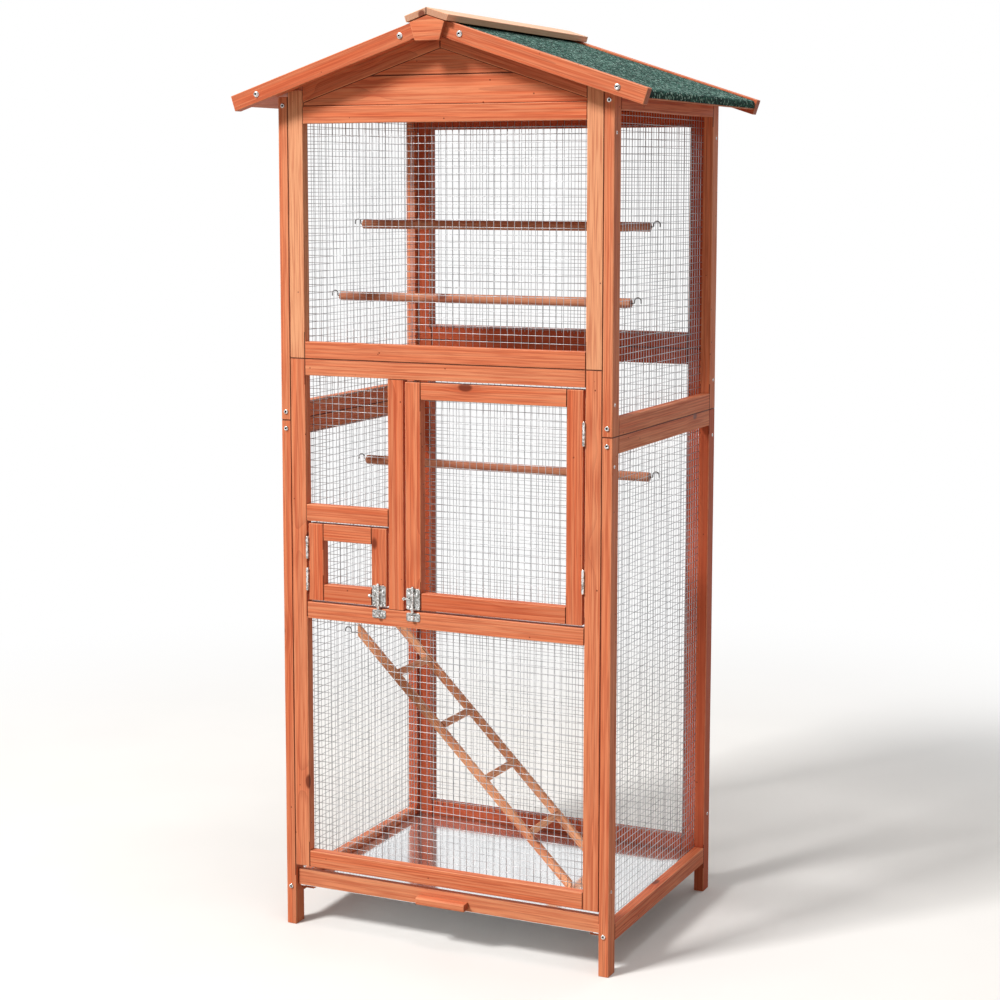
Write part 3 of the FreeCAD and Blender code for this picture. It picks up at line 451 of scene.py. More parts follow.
def wire_finish(name, pale, dull, metal):
    """Round wire with spangles and duller patches."""
    wire = Finish(name)
    place = wire.place()
    spangle = wire.cells(place, SPANGLES_PER_METRE)
    patches = wire.cloud(place, WIRE_PATCHES, 3.0)
    wire.surface(
        Base_Color=wire.blend(wire.ramp(patches, *PATCH_RANGE), pale, dull),
        Metallic=metal,
        Roughness=WIRE_ROUGH + patches * PATCH_ROUGH,
        Normal=wire.relief(spangle, SPANGLE_RELIEF, 0.5),
    )
    return wire.material


finishes["galvanised_wire"] = wire_finish("galvanised wire", ZINC_PALE, ZINC_DULL, ZINC_METAL)
finishes["hook_wire"] = wire_finish("steel wire", STEEL_PALE, STEEL_DULL, STEEL_METAL)
print("finishes so far", len(finishes))


# %% Zinc and bright sheet
PLATE_BRIGHT = (0.86, 0.86, 0.85)
# Near black, painted shade in sockets, screw crosses and the back plates of the barrel bolts.
PLATE_WORN = (0.34, 0.33, 0.31)
PLATE_RECESS_SHADE = (0.015, 0.013, 0.012)
PLATE_HAZE = (180, 180, 180)
PLATE_WEAR = (240, 240, 240)
WEAR_RANGE = (0.40, 0.62)
PLATE_RELIEF = 0.25 * MM
PLATE_STRENGTH = 0.6
PLATE_METAL = 0.95
RECESS_SHADE_METAL = 0.6
PLATE_ROUGH = 0.14
HAZE_ROUGH = 0.20
RECESS_SHADE_ROUGH = 0.3
SHEET_BRIGHT = (0.93, 0.94, 0.95)
SHEET_SMEARED = (0.86, 0.88, 0.90)
ROLLING_LINES = (900, 5, 900)
SMEARS = (11, 7, 11)
SMEAR_RANGE = (0.4, 0.8)
ROLLING_RELIEF = 0.05 * MM
ROLLING_STRENGTH = 0.25
SHEET_METAL = 0.90
SHEET_ROUGH = 0.07
SMEAR_ROUGH = 0.08


def zinc_finish():
    """Plated steel, worn in patches and darkened with painted shade where it is marked."""
    zinc = Finish("zinc plate")
    place = zinc.place()
    marks = zinc.add("ShaderNodeAttribute", {"attribute_name": "marks"}, out="Vector")
    recess_shade = zinc.parts(marks)[2]
    haze = zinc.cloud(place, PLATE_HAZE, 3.0)
    wear = zinc.ramp(zinc.cloud(place, PLATE_WEAR, 2.0), *WEAR_RANGE)
    plate = zinc.blend(wear, PLATE_BRIGHT, PLATE_WORN)
    zinc.surface(
        Base_Color=zinc.blend(recess_shade, plate, PLATE_RECESS_SHADE),
        Metallic=PLATE_METAL - recess_shade * RECESS_SHADE_METAL,
        Roughness=PLATE_ROUGH + haze * HAZE_ROUGH + recess_shade * RECESS_SHADE_ROUGH,
        Normal=zinc.relief(haze, PLATE_RELIEF, PLATE_STRENGTH),
    )
    return zinc.material


def sheet_finish():
    """Bright rolled sheet with faint smears."""
    sheet = Finish("bright sheet")
    place = sheet.place()
    rolling = sheet.cloud(place, ROLLING_LINES, 2.0)
    smears = sheet.cloud(place, SMEARS, 3.0)
    sheet.surface(
        Base_Color=sheet.blend(sheet.ramp(smears, *SMEAR_RANGE), SHEET_BRIGHT, SHEET_SMEARED),
        Metallic=SHEET_METAL,
        Roughness=SHEET_ROUGH + smears * SMEAR_ROUGH,
        Normal=sheet.relief(rolling, ROLLING_RELIEF, ROLLING_STRENGTH),
    )
    return sheet.material


finishes["zinc_hardware"] = zinc_finish()
finishes["tray_sheet"] = sheet_finish()
print("finishes", sorted(finishes))


# %% [markdown]
# Every piece is made the same way in the end: points, faces and the two attributes of the wood finish. A
# small collector keeps them together, so that a hundred wires or four legs become one mesh on one body,
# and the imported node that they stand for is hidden.

# %% Gather the surfaces of a piece
class Stock:
    """Points and faces of one piece, before Blender gets them."""

    def __init__(self):
        self.places = []
        self.faces = []
        self.smooth = []
        self.grain = []
        self.marks = []

    def take(self, places, faces, smooth=None, grain=None, marks=None):
        """Adds a surface; grain has a vector for each point and marks one for each face."""
        start = len(self.places)
        self.places += [tuple(place) for place in places]
        self.faces += [[start + corner for corner in face] for face in faces]
        self.smooth += smooth or [True] * len(faces)
        self.grain += grain or [(0, 0, 0)] * len(places)
        self.marks += marks or [(0, 0, 0)] * len(faces)

    def take_shape(self, shape, eased, grain=None, marks=None):
        """Adds a working mesh, smooth where it is eased, and frees it."""
        shape.verts.index_update()
        places = [vert.co.copy() for vert in shape.verts]
        faces = [[vert.index for vert in face.verts] for face in shape.faces]
        smooth = [bool(face[eased]) for face in shape.faces]
        self.take(places, faces, smooth, grain, marks)
        shape.free()

    def piece(self, name, finish, body, *nodes):
        """Makes the mesh, rides it on its body and hides the nodes that it stands for."""
        mesh = bpy.data.meshes.new(name)
        mesh.from_pydata(self.places, [], self.faces)
        mesh.polygons.foreach_set("use_smooth", self.smooth)
        for label, domain, vectors in (("grain", "POINT", self.grain), ("marks", "FACE", self.marks)):
            attribute = mesh.attributes.new(label, "FLOAT_VECTOR", domain)
            attribute.data.foreach_set("vector", [number for vector in vectors for number in vector])
        mesh.materials.append(finishes[finish])
        made = bpy.data.objects.new(name, mesh)
        bpy.context.scene.collection.objects.link(made)
        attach(made, body)
        if nodes:
            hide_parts(*nodes)
        return made


def body_of(node):
    return frame["nodes"][node]["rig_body"]


def middle_of(node):
    low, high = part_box(node)
    return (low + high) / 2


print("collector ready")


# %% [markdown]
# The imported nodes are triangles, and a node can hold several battens that touch. Bevelling that as it is
# would round the diagonals and weld neighbours together. The packer writes one solid after another, and a
# solid is whole exactly when each of its edges has been met twice. So the triangles are read in order and
# the pile is closed whenever no edge is left open. Flat triangles are then dissolved back into the real
# faces.

# %% Read the solids of a node
SAME_FACE = math.radians(1)
SHARP = math.radians(20)


def rounded(place):
    return tuple(round(number, 6) for number in place)


def solids_of(node):
    """The closed solids of a node, each as a list of triangles."""
    mesh = frame["nodes"][node].data
    solids = []
    pile = []
    open_edges = set()
    for polygon in mesh.polygons:
        corners = [rounded(mesh.vertices[index].co) for index in polygon.vertices]
        pile.append(corners)
        for first, second in zip(corners, corners[1:] + corners[:1]):
            open_edges ^= {frozenset((first, second))}
        if not open_edges:
            solids.append(pile)
            pile = []
    return solids


def solid_shape(triangles):
    """A solid as a working mesh with its real faces."""
    shape = bmesh.new()
    corners = {}
    for triangle in triangles:
        for place in triangle:
            if place not in corners:
                corners[place] = shape.verts.new(place)
        shape.faces.new([corners[place] for place in triangle])
    shape.normal_update()
    bmesh.ops.dissolve_limit(shape, angle_limit=SAME_FACE, verts=shape.verts[:], edges=shape.edges[:])
    shape.normal_update()
    return shape


def ease_edges(shape, width, segments=2):
    """Rounds the sharp edges and marks the new faces."""
    eased = shape.faces.layers.int.new("eased")
    sharp = [edge for edge in shape.edges if edge.calc_face_angle(0) > SHARP]
    made = bmesh.ops.bevel(
        shape, geom=sharp, offset=width, segments=segments, profile=0.5, affect="EDGES", clamp_overlap=True
    )
    for face in made["faces"]:
        face[eased] = 1
    shape.normal_update()
    return eased


solids = {node: solids_of(node) for node in sorted(slots)}
print("solids", sum(len(pieces) for pieces in solids.values()))


# %% [markdown]
# Every joint between two battens is drawn as a dark line, painted shade for the shade that falls in the
# little valley between their arrises, while open arrises are rubbed pale. To know which is which, the
# triangles of all the timber go into one search tree, and an eased face asks it for neighbours of another
# batten.

# %% Find the neighbours of a batten
TIMBER_SLOTS = ("stained_fir", "ridge_board")
JOINT_REACH = 1.9 * MM


def timber_tree():
    """A search tree of all timber triangles and the batten that each belongs to."""
    places = []
    triangles = []
    owners = []
    for node in sorted(slots):
        if slots[node] not in TIMBER_SLOTS:
            continue
        for index, solid in enumerate(solids[node]):
            for triangle in solid:
                triangles.append([len(places), len(places) + 1, len(places) + 2])
                places += triangle
                owners.append((node, index))
    return BVHTree.FromPolygons(places, triangles), owners


tree, owners = timber_tree()


def meets_neighbour(place, owner):
    """Whether another batten lies close to a place."""
    return any(owners[hit[2]] != owner for hit in tree.find_nearest_range(place, JOINT_REACH))


print("timber triangles", len(owners))


# %% [markdown]
# Timber. A sawn and planed batten has arrises eased by a pass of sandpaper, and its faces are never quite
# flat. Each batten is sawn across in the mesh every few centimetres, and its skin sinks by up to a fifth
# of a millimetre, more here and less there. It only ever sinks, so nothing leaves the room that the
# construction gives it, and neighbours show the hairline joints that butted battens have. Each batten
# also picks its own trunk, tone and knots from a random source seeded with its name, so that a second run
# cuts the same timber. The battens at the rear are given a deep red tone, which is painted shade for the
# shade that falls inside the cage.

# %% Dress the timber
ARRIS = 1.1 * MM
SAW_STEP = 45 * MM
HOLLOW = 0.22 * MM
WAVE_SHORT = 0.22
WAVE_LONG = 0.40
SIDE_TURN = 1.7
TRUNK_NEAR = 14 * MM
TRUNK_FAR = 75 * MM
TRUNK_LONG = 30
TONES = {
    "front_upper_stiles": 0.76,
    "front_lower_stiles": 0.14,
    "front_lower_rails": 0.14,
    "front_upper_rails": 0.00,
    "big_door": -0.04,
    "small_door": -0.15,
    "gable": 0.04,
    "barge": -0.30,
    # The ladder is paler fir, and its tone is raised further as painted light to lift the shade that falls
    # on it inside the cage.
    "ladder_rails": 0.86,
    "ladder_rungs": 0.86,
    "tray_front_board": 0.42,
}
USUAL_TONE = 0.02
# Rear battens of the back and sides take this deep tone as painted shade for the shade inside the cage.
REAR_PAINTED_SHADE = -0.70
REAR_FROM = 0.2
REAR_NODES = ("back", "side")
TONE_SPREAD = 0.12
END_FACING = 0.9


def grain_axes(shape):
    """A batten's own directions: along it, across its wider face and into its thickness."""
    sides = [edge.verts[1].co - edge.verts[0].co for edge in shape.edges]
    sides.sort(key=lambda side: -side.length)
    along = sides[0].normalized()
    across = next(side for side in sides if abs(side.normalized().dot(along)) < 0.5)
    across = (across - along * across.dot(along)).normalized()
    return along, across, along.cross(across)


def saw_across(shape, along, centre):
    """Cuts the faces across every few centimetres, so that they can bend."""
    reach = max(abs((vert.co - centre).dot(along)) for vert in shape.verts)
    count = int(2 * reach / SAW_STEP)
    for index in range(1, count):
        place = centre + along * (2 * reach * index / count - reach)
        geometry = shape.verts[:] + shape.edges[:] + shape.faces[:]
        bmesh.ops.bisect_plane(shape, geom=geometry, plane_co=place, plane_no=along)


def sink_skin(shape, along, across, centre, chance):
    """Lets the skin of a batten sink a little, more here and less there."""
    shape.normal_update()
    wave = chance.uniform(WAVE_SHORT, WAVE_LONG)
    turn = chance.uniform(0, math.tau)
    for vert in shape.verts:
        offset = vert.co - centre
        side = SIDE_TURN if offset.dot(across) > 0 else 0.0
        swing = math.sin(math.tau * offset.dot(along) / wave + turn + side)
        vert.co -= vert.normal * HOLLOW * (0.5 + 0.5 * swing)


def dress_batten(stock, owner, tone):
    """One batten: eased, bent a little and given a trunk of its own."""
    node, index = owner
    chance = random.Random(node + str(index))
    shape = solid_shape(solids[node][index])
    along, across, inward = grain_axes(shape)
    centre = sum((vert.co for vert in shape.verts), Vector()) / len(shape.verts)
    eased = ease_edges(shape, ARRIS)
    saw_across(shape, along, centre)
    sink_skin(shape, along, across, centre, chance)
    start = chance.uniform(0, TRUNK_LONG)
    angle = chance.uniform(0, math.tau)
    reach = chance.uniform(TRUNK_NEAR, TRUNK_FAR)
    heart = Vector((start, reach * math.cos(angle), reach * math.sin(angle)))
    grain = []
    for vert in shape.verts:
        offset = vert.co - centre
        own_place = Vector((offset.dot(along), offset.dot(across), offset.dot(inward)))
        grain.append(tuple(heart + own_place))
    # Painted shade: a batten at the rear takes the deep rear tone.
    if node.startswith(REAR_NODES) and centre.y > REAR_FROM:
        tone = REAR_PAINTED_SHADE
    own_tone = tone + chance.uniform(-TONE_SPREAD, TONE_SPREAD)
    marks = []
    for face in shape.faces:
        arris = 0.0
        if face[eased]:
            # An arris that meets another batten gets the dark line of painted shade; an open one is rubbed
            # pale.
            arris = -1.0 if meets_neighbour(face.calc_center_median(), owner) else 1.0
        is_end = abs(face.normal.dot(along)) > END_FACING and not face[eased]
        marks.append((own_tone, arris, 1.0 if is_end else 0.0))
    stock.take_shape(shape, eased, grain, marks)


def dress_timber(node):
    """All the battens of a node as one piece."""
    stock = Stock()
    tone = next((TONES[start] for start in TONES if node.startswith(start)), USUAL_TONE)
    for index in range(len(solids[node])):
        dress_batten(stock, (node, index), tone)
    return stock.piece("stained_" + node, slots[node], body_of(node), node)


timbers = [dress_timber(node) for node in sorted(slots) if slots[node] in TIMBER_SLOTS]
print("timber pieces", len(timbers), "faces", sum(len(piece.data.polygons) for piece in timbers))


# %% [markdown]
# A tube along a line of points serves for the wires and the hooks. Its rings are carried along the line
# without twisting: each ring's first direction is the last one's, laid square to the new direction. A
# turned shape starts its rings from a direction that lies askew to every axis used here.

# %% Tubes and turned shapes
UP = Vector((0, 0, 1))
TO_RIGHT = Vector((1, 0, 0))
TO_REAR = Vector((0, 1, 0))
ASKEW = Vector((0.3, 0.2, 0.9))


def square_to(direction, guess):
    """The guess, laid square to the direction."""
    return (guess - direction * guess.dot(direction)).normalized()


def tube(points, radius, sides, guess):
    """Points and faces of a closed round tube along a line."""
    places = []
    faces = []
    last = len(points) - 1
    for index, point in enumerate(points):
        direction = (points[min(index + 1, last)] - points[max(index - 1, 0)]).normalized()
        guess = square_to(direction, guess)
        other = direction.cross(guess)
        for step in range(sides):
            angle = math.tau * step / sides
            places.append(point + (guess * math.cos(angle) + other * math.sin(angle)) * radius)
    for ring in range(last):
        for step in range(sides):
            near = ring * sides
            after = (step + 1) % sides
            faces.append([near + step, near + after, near + sides + after, near + sides + step])
    faces.append(list(range(sides))[::-1])
    faces.append([last * sides + step for step in range(sides)])
    return places, faces


def turned(rings, base, axis, sides):
    """A shape turned on an axis.

    Each ring gives its height and its radius, a number or a function of the angle. A ring of radius 0 is a
    single point. The faces come ring by ring, so many to each as there are sides.
    """
    guess = square_to(axis, ASKEW)
    other = axis.cross(guess)
    places = []
    starts = []
    for height, radius in rings:
        starts.append(len(places))
        if radius == 0:
            places.append(base + axis * height)
            continue
        for step in range(sides):
            angle = math.tau * step / sides
            reach = radius(angle) if callable(radius) else radius
            spoke = guess * math.cos(angle) + other * math.sin(angle)
            places.append(base + axis * height + spoke * reach)
    faces = []
    for index in range(len(rings) - 1):
        low = starts[index]
        high = starts[index + 1]
        for step in range(sides):
            after = (step + 1) % sides
            near = [low] if rings[index][1] == 0 else [low + step, low + after]
            far = [high] if rings[index + 1][1] == 0 else [high + after, high + step]
            faces.append(near + far)
    return places, faces


def eased_rings(length, radius, ease):
    """The rings of a round bar from foot to top, with both ends eased in two steps."""
    near = ease * 0.3
    return [
        (0, radius - ease),
        (near, radius - near),
        (ease, radius),
        (length - ease, radius),
        (length - near, radius - near),
        (length, radius - ease),
    ]


print("tubes ready")


# %% [markdown]
# Welded mesh. Two layers of straight wire, 13 mm from wire to wire, are welded where they cross, so the
# level wires lie outside the upright ones and are not woven through them. A flat holed texture would
# vanish edge-on; real wires cost little, because each one is a six-sided tube. A roll of mesh never lies
# quite flat, so both layers follow one slow wave and their crossings stay together. The side meshes are
# laid out from the hooks: one level wire runs under the crooks, and no upright wire meets a hook.

# %% Welded mesh
WIRE_PITCH = 13 * MM
WIRE = 0.5 * MM
WIRE_STEP = 60 * MM
WIRE_SIDES = 6
WELD = 0.1 * MM
CROOK_TO_WIRE = 2.9 * MM
SLACK_ALONG = 0.26 * MM
SLACK_OUT = 0.18 * MM
SEEDS = 17
ALONG_WAVES = ((19, 11, 1, 0.60), (41, -23, 3, 0.36))
RISE_WAVES = ((13, -21, 2, 0.60), (31, 37, 1, 0.36))
OUT_WAVES = ((17, 15, 5, 1.0),)


def swell(across, up, waves, seed=0):
    """The sum of waves at a place. Each has its paces both ways, its part of the seed and its share."""
    return sum(
        share * math.sin(across * pace_across + up * pace_up + seed * part)
        for pace_across, pace_up, part, share in waves
    )


def slack(across, up, seed):
    """How far the mesh has crept at a place: along, up and out of its plane."""
    along = swell(across, up, ALONG_WAVES, seed)
    rise = swell(across, up, RISE_WAVES, seed)
    out = swell(across, up, OUT_WAVES, seed)
    return along * SLACK_ALONG, rise * SLACK_ALONG, out * SLACK_OUT


def wire_lines(low, high, anchor):
    """Places of parallel wires, a pitch apart, one of them at the anchor."""
    first = math.ceil((low + WIRE - anchor) / WIRE_PITCH)
    last = math.floor((high - WIRE - anchor) / WIRE_PITCH)
    return [anchor + WIRE_PITCH * index for index in range(first, last + 1)]


def steps_between(low, high):
    count = max(2, round((high - low) / WIRE_STEP))
    return [low + (high - low) * index / count for index in range(count + 1)]


def weld_net(node, anchor_across, anchor_up):
    """One mesh panel. The thin side of the node's box tells which way it faces."""
    low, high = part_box(node)
    faces_front = high.y - low.y < high.x - low.x
    across = TO_RIGHT if faces_front else TO_REAR
    out = TO_REAR if faces_front else TO_RIGHT
    middle = (low + high) / 2
    side = 1 if middle.dot(out) > 0 else -1
    seed = sum(map(ord, node)) % SEEDS
    stock = Stock()

    def place(along, up, layer):
        creep_along, creep_up, creep_out = slack(along, up, seed)
        depth = middle.dot(out) + side * (layer * (WIRE - WELD / 2) + creep_out)
        return across * (along + creep_along) + UP * (up + creep_up) + out * depth

    columns = wire_lines(low.dot(across), high.dot(across), anchor_across)
    rows = wire_lines(low.z, high.z, anchor_up)
    for column in columns:
        points = [place(column, up, -1) for up in steps_between(low.z, high.z)]
        stock.take(*tube(points, WIRE, WIRE_SIDES, out))
    for row in rows:
        points = [place(along, row, 1) for along in steps_between(low.dot(across), high.dot(across))]
        stock.take(*tube(points, WIRE, WIRE_SIDES, out))
    stock.piece("welded_" + node, slots[node], body_of(node), node)
    return len(columns) + len(rows)


upper_anchor = (middle_of("top_perch").y + middle_of("middle_perch").y) / 2
upper_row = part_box("top_perch_hooks")[1].z - CROOK_TO_WIRE
LOWER_COLUMN = 31 * MM
lower_anchor = middle_of("lower_perch").y + LOWER_COLUMN
lower_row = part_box("lower_perch_hooks")[1].z - CROOK_TO_WIRE
side_anchors = {"upper": (upper_anchor, upper_row), "lower": (lower_anchor, lower_row)}
wire_count = 0
for node in sorted(slots):
    if slots[node] != "galvanised_wire":
        continue
    storey = next((name for name in side_anchors if node.endswith(name + "_net")), None)
    is_side = node.startswith(("left", "right"))
    net_middle = middle_of(node)
    anchors = side_anchors[storey] if is_side else (net_middle.x, net_middle.z)
    wire_count += weld_net(node, *anchors)
print("wires welded", wire_count)


# %% [markdown]
# Perches and hooks. A perch is a dowel with softened ends and a bent wire hook screwed into each. The
# packed hooks are four-sided, enough for a bench test; here the same bends are followed with a round
# wire.

# %% Perches
DOWEL_SIDES = 40
DOWEL_EASE = 1.6 * MM
DOWEL_STEP = 30 * MM
DOWEL_UNEVEN = 0.12 * MM
DOWEL_HEART_Y = 21 * MM
DOWEL_HEART_Z = 12 * MM
DOWEL_TONE = 0.08
RIM_SHARE = 0.95
PERCH_NODES = ("top_perch", "middle_perch", "lower_perch")


def turn_perch(node):
    """A dowel between the ends of its node, a hair uneven along its length."""
    low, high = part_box(node)
    chance = random.Random(node)
    radius = (high.z - low.z) / 2
    base = Vector((low.x, (low.y + high.y) / 2, (low.z + high.z) / 2))
    length = high.x - low.x
    ends = eased_rings(length, radius, DOWEL_EASE)
    stations = []
    count = round(length / DOWEL_STEP)
    for index in range(count + 1):
        place = DOWEL_EASE + (length - 2 * DOWEL_EASE) * index / count
        stations.append((place, radius - chance.uniform(0, DOWEL_UNEVEN)))
    rings = [(0, 0)] + ends[:2] + stations + ends[-2:] + [(length, 0)]
    places, faces = turned(rings, base, TO_RIGHT, DOWEL_SIDES)
    start = chance.uniform(0, TRUNK_LONG)
    heart = Vector((start, DOWEL_HEART_Y - base.y, DOWEL_HEART_Z - base.z))
    grain = [tuple(place + heart) for place in places]
    rim = radius * RIM_SHARE
    marks = []
    for face in faces:
        centre = sum((places[corner] for corner in face), Vector()) / len(face)
        on_end = math.hypot(centre.y - base.y, centre.z - base.z) < rim
        marks.append((DOWEL_TONE, 0.0, 1.0 if on_end else 0.0))
    stock = Stock()
    stock.take(places, faces, None, grain, marks)
    return stock.piece("turned_" + node, slots[node], body_of(node), node)


perches = [turn_perch(node) for node in PERCH_NODES]
print("perches", len(perches), "long", round(perches[0].dimensions.x, 3))


# %% Hooks
HOOK_WIRE = 1.0 * MM
HOOK_ELBOW = 2.0 * MM
HOOK_RISE = 4.0 * MM
HOOK_CROOK = 6.0 * MM
HOOK_SIDES = 10
BEND_STEPS = 10


def hook_line(root, outward, stem):
    """A hook's wire: stem, elbow, and a crook that comes down again."""

    def at(out, rise):
        return root + outward * out + UP * rise

    line = [at(0, 0), at(stem - HOOK_ELBOW, 0)]
    for index in range(1, BEND_STEPS + 1):
        angle = math.pi / 2 * index / BEND_STEPS
        out = stem - HOOK_ELBOW + HOOK_ELBOW * math.sin(angle)
        line.append(at(out, HOOK_ELBOW * (1 - math.cos(angle))))
    for index in range(2 * BEND_STEPS + 1):
        angle = math.pi * index / (2 * BEND_STEPS)
        out = stem + HOOK_CROOK * (1 - math.cos(angle))
        line.append(at(out, HOOK_RISE + HOOK_CROOK * math.sin(angle)))
    line.append(at(stem + 2 * HOOK_CROOK, 0))
    return line


def bend_hooks(node, roots):
    """The hooks of one perch or of the ladder, each out to the side of its node's box."""
    low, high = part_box(node)
    stock = Stock()
    for root in roots:
        outward = TO_RIGHT if root.x > 0 else -TO_RIGHT
        edge = high.x if root.x > 0 else low.x
        stem = abs(edge - root.x) - 2 * HOOK_CROOK - HOOK_WIRE
        stock.take(*tube(hook_line(root, outward, stem), HOOK_WIRE, HOOK_SIDES, TO_REAR))
    return stock.piece("bent_" + node, slots[node], body_of(node), node)


def perch_ends(node):
    low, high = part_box(node)
    middle = (low + high) / 2
    return [Vector((x, middle.y, middle.z)) for x in (low.x, high.x)]


hook_pieces = [bend_hooks(node + "_hooks", perch_ends(node)) for node in PERCH_NODES]
ladder_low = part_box("ladder_rails")[0]
hook_low, hook_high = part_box("ladder_hooks")
hook_root_z = hook_high.z - HOOK_WIRE - HOOK_CROOK - HOOK_RISE
hook_rows = (hook_low.y + HOOK_WIRE, hook_high.y - HOOK_WIRE)
ladder_roots = [Vector((ladder_low.x, hook_y, hook_root_z)) for hook_y in hook_rows]
hook_pieces.append(bend_hooks("ladder_hooks", ladder_roots))
print("hooks", [round(piece.dimensions.z, 4) for piece in hook_pieces])


# %% [markdown]
# Roofing felt. It is laid warm over the boards and settles into shallow hollows, and it is dressed down
# over the eaves in a soft bend, because bitumen cracks in a sharp one. So the sheet is a grid that
# follows the slope and then turns down; its upper side dips a little and its lower side stays on the
# boards.

# %% Roofing felt
FELT_THICK = 2.0 * MM
FELT_BEND = 5.0 * MM
FELT_BEND_STEPS = 6
FELT_ROWS = 52
FELT_COLUMNS = 44
FELT_DIP = 0.9 * MM
FELT_WAVES = ((47, 9, 0, 0.25), (-12, 31, 0, 0.25))
AT_EDGE = 0.1 * MM


def felt_section(low, high, ridge, eave):
    """The felt's upper side from the ridge to the foot of its lip, as places and outward directions."""
    slope = (ridge - eave) / (high.x - low.x)
    tilt = math.atan(slope)
    down = Vector((math.cos(tilt), 0, -math.sin(tilt)))
    outward = Vector((math.sin(tilt), 0, math.cos(tilt)))
    turn = math.pi / 2 - tilt
    cut_back = FELT_BEND * math.tan(turn / 2)
    run = (high.x - low.x) / math.cos(tilt) - cut_back
    start = Vector((0, 0, ridge))
    section = [(start + down * run * index / FELT_COLUMNS, outward) for index in range(FELT_COLUMNS + 1)]
    middle = start + down * run - outward * FELT_BEND
    for index in range(1, FELT_BEND_STEPS + 1):
        angle = turn * index / FELT_BEND_STEPS
        direction = outward * math.cos(angle) + down * math.sin(angle)
        section.append((middle + direction * FELT_BEND, direction))
    section.append((Vector((section[-1][0].x, 0, low.z)), section[-1][1]))
    return section


def lay_felt(node, side):
    """One slope's felt, laid as a grid and closed at its edges."""
    low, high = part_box(node)
    if side < 0:
        low.x, high.x = -high.x, -low.x
    corners = [vert.co for vert in frame["nodes"][node].data.vertices]
    eave = max(corner.z for corner in corners if abs(corner.x) > high.x - AT_EDGE)
    section = felt_section(low, high, high.z, eave)
    places = []
    for upper in (True, False):
        for row in range(FELT_ROWS + 1):
            y = low.y + (high.y - low.y) * row / FELT_ROWS
            for place, outward in section:
                sink = FELT_DIP * (0.5 + swell(place.x, y, FELT_WAVES)) if upper else FELT_THICK
                point = place - outward * sink
                places.append((side * point.x, y, max(point.z, low.z)))
    wide = len(section)
    layer = wide * (FELT_ROWS + 1)
    faces = []
    for row in range(FELT_ROWS):
        for column in range(wide - 1):
            corner = row * wide + column
            quad = [corner, corner + 1, corner + wide + 1, corner + wide]
            faces += [quad, [layer + index for index in reversed(quad)]]
    rim = list(range(wide))
    rim += [row * wide + wide - 1 for row in range(1, FELT_ROWS + 1)]
    rim += [FELT_ROWS * wide + column for column in range(wide - 2, -1, -1)]
    rim += [row * wide for row in range(FELT_ROWS - 1, 0, -1)]
    for first, second in zip(rim, rim[1:] + rim[:1]):
        faces.append([second, first, layer + first, layer + second])
    if side < 0:
        faces = [face[::-1] for face in faces]
    smooth = [True] * (2 * FELT_ROWS * (wide - 1)) + [False] * len(rim)
    stock = Stock()
    stock.take(places, faces, smooth)
    return stock.piece("mineral_" + node, slots[node], body_of(node), node)


felts = [lay_felt("left_felt", -1), lay_felt("right_felt", 1)]
print("felt", [round(side, 3) for side in felts[1].dimensions])


# %% [markdown]
# The drawer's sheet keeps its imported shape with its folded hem; a sheared sheet only needs its edges
# broken. A real sheet this wide is never flat: it is divided into a grid and dented by a hair here and
# there, which is enough to bend the reflections of the legs as the photograph shows them.

# %% The drawer's sheet
SHEET_EASE = 0.25 * MM
SHEET_GRID = 40 * MM
SHEET_DENT = 0.22 * MM
SHEET_WAVE = ((17, 9, 0, 1),)
SHEET_CROSS_WAVE = ((-7, 23, 0, 1),)


def cut_grid(shape, axis, low, high, pitch):
    """Cuts a shape by parallel planes square to an axis."""
    count = round((high - low) / pitch)
    for index in range(1, count):
        place = axis * (low + (high - low) * index / count)
        geometry = shape.verts[:] + shape.edges[:] + shape.faces[:]
        bmesh.ops.bisect_plane(shape, geom=geometry, plane_co=place, plane_no=axis)


def dress_sheet(node):
    """The sheet with broken edges and shallow dents that only go down."""
    low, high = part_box(node)
    shape = solid_shape(solids[node][0])
    eased = ease_edges(shape, SHEET_EASE)
    cut_grid(shape, TO_RIGHT, low.x, high.x, SHEET_GRID)
    cut_grid(shape, TO_REAR, low.y, high.y, SHEET_GRID)
    for vert in shape.verts:
        if vert.co.z > high.z - SHEET_EASE * 0.5:
            x, y = vert.co.xy
            swing = swell(x, y, SHEET_WAVE) * swell(x, y, SHEET_CROSS_WAVE)
            vert.co.z -= SHEET_DENT * (0.5 + 0.5 * swing)
    for face in shape.faces:
        face[eased] = 1 if face.normal.z > 0.5 else face[eased]
    stock = Stock()
    stock.take_shape(shape, eased)
    return stock.piece("bright_" + node, slots[node], body_of(node), node)


sheet = dress_sheet("tray_sheet")
print("sheet faces", len(sheet.data.polygons))


# %% [markdown]
# Butt hinges. Seen from the front only their rolled barrels show in the gaps of the doors. Each is round
# with three knuckles on a domed pin: the outer two belong to the frame, the middle one to the door. The
# flat leaves lie hidden in the gap, so plain plates with a broken edge serve. Every knuckle is a turned
# ring, hollow as the rolled one is, and its leaf rides with it.

# %% Plates
METAL_EASE = 0.3 * MM
TAB_EASE = 0.2 * MM
PLATE = 1.0 * MM


def box_shape(low, high):
    """A plain block as a working mesh."""
    shape = bmesh.new()
    bmesh.ops.create_cube(shape, size=1)
    for vert in shape.verts:
        vert.co = Vector([end[1] if corner > 0 else end[0] for corner, end in zip(vert.co, zip(low, high))])
    return shape


def take_plate(stock, low, high, ease=METAL_EASE):
    """Adds a block with broken edges."""
    shape = box_shape(low, high)
    stock.take_shape(shape, ease_edges(shape, ease))


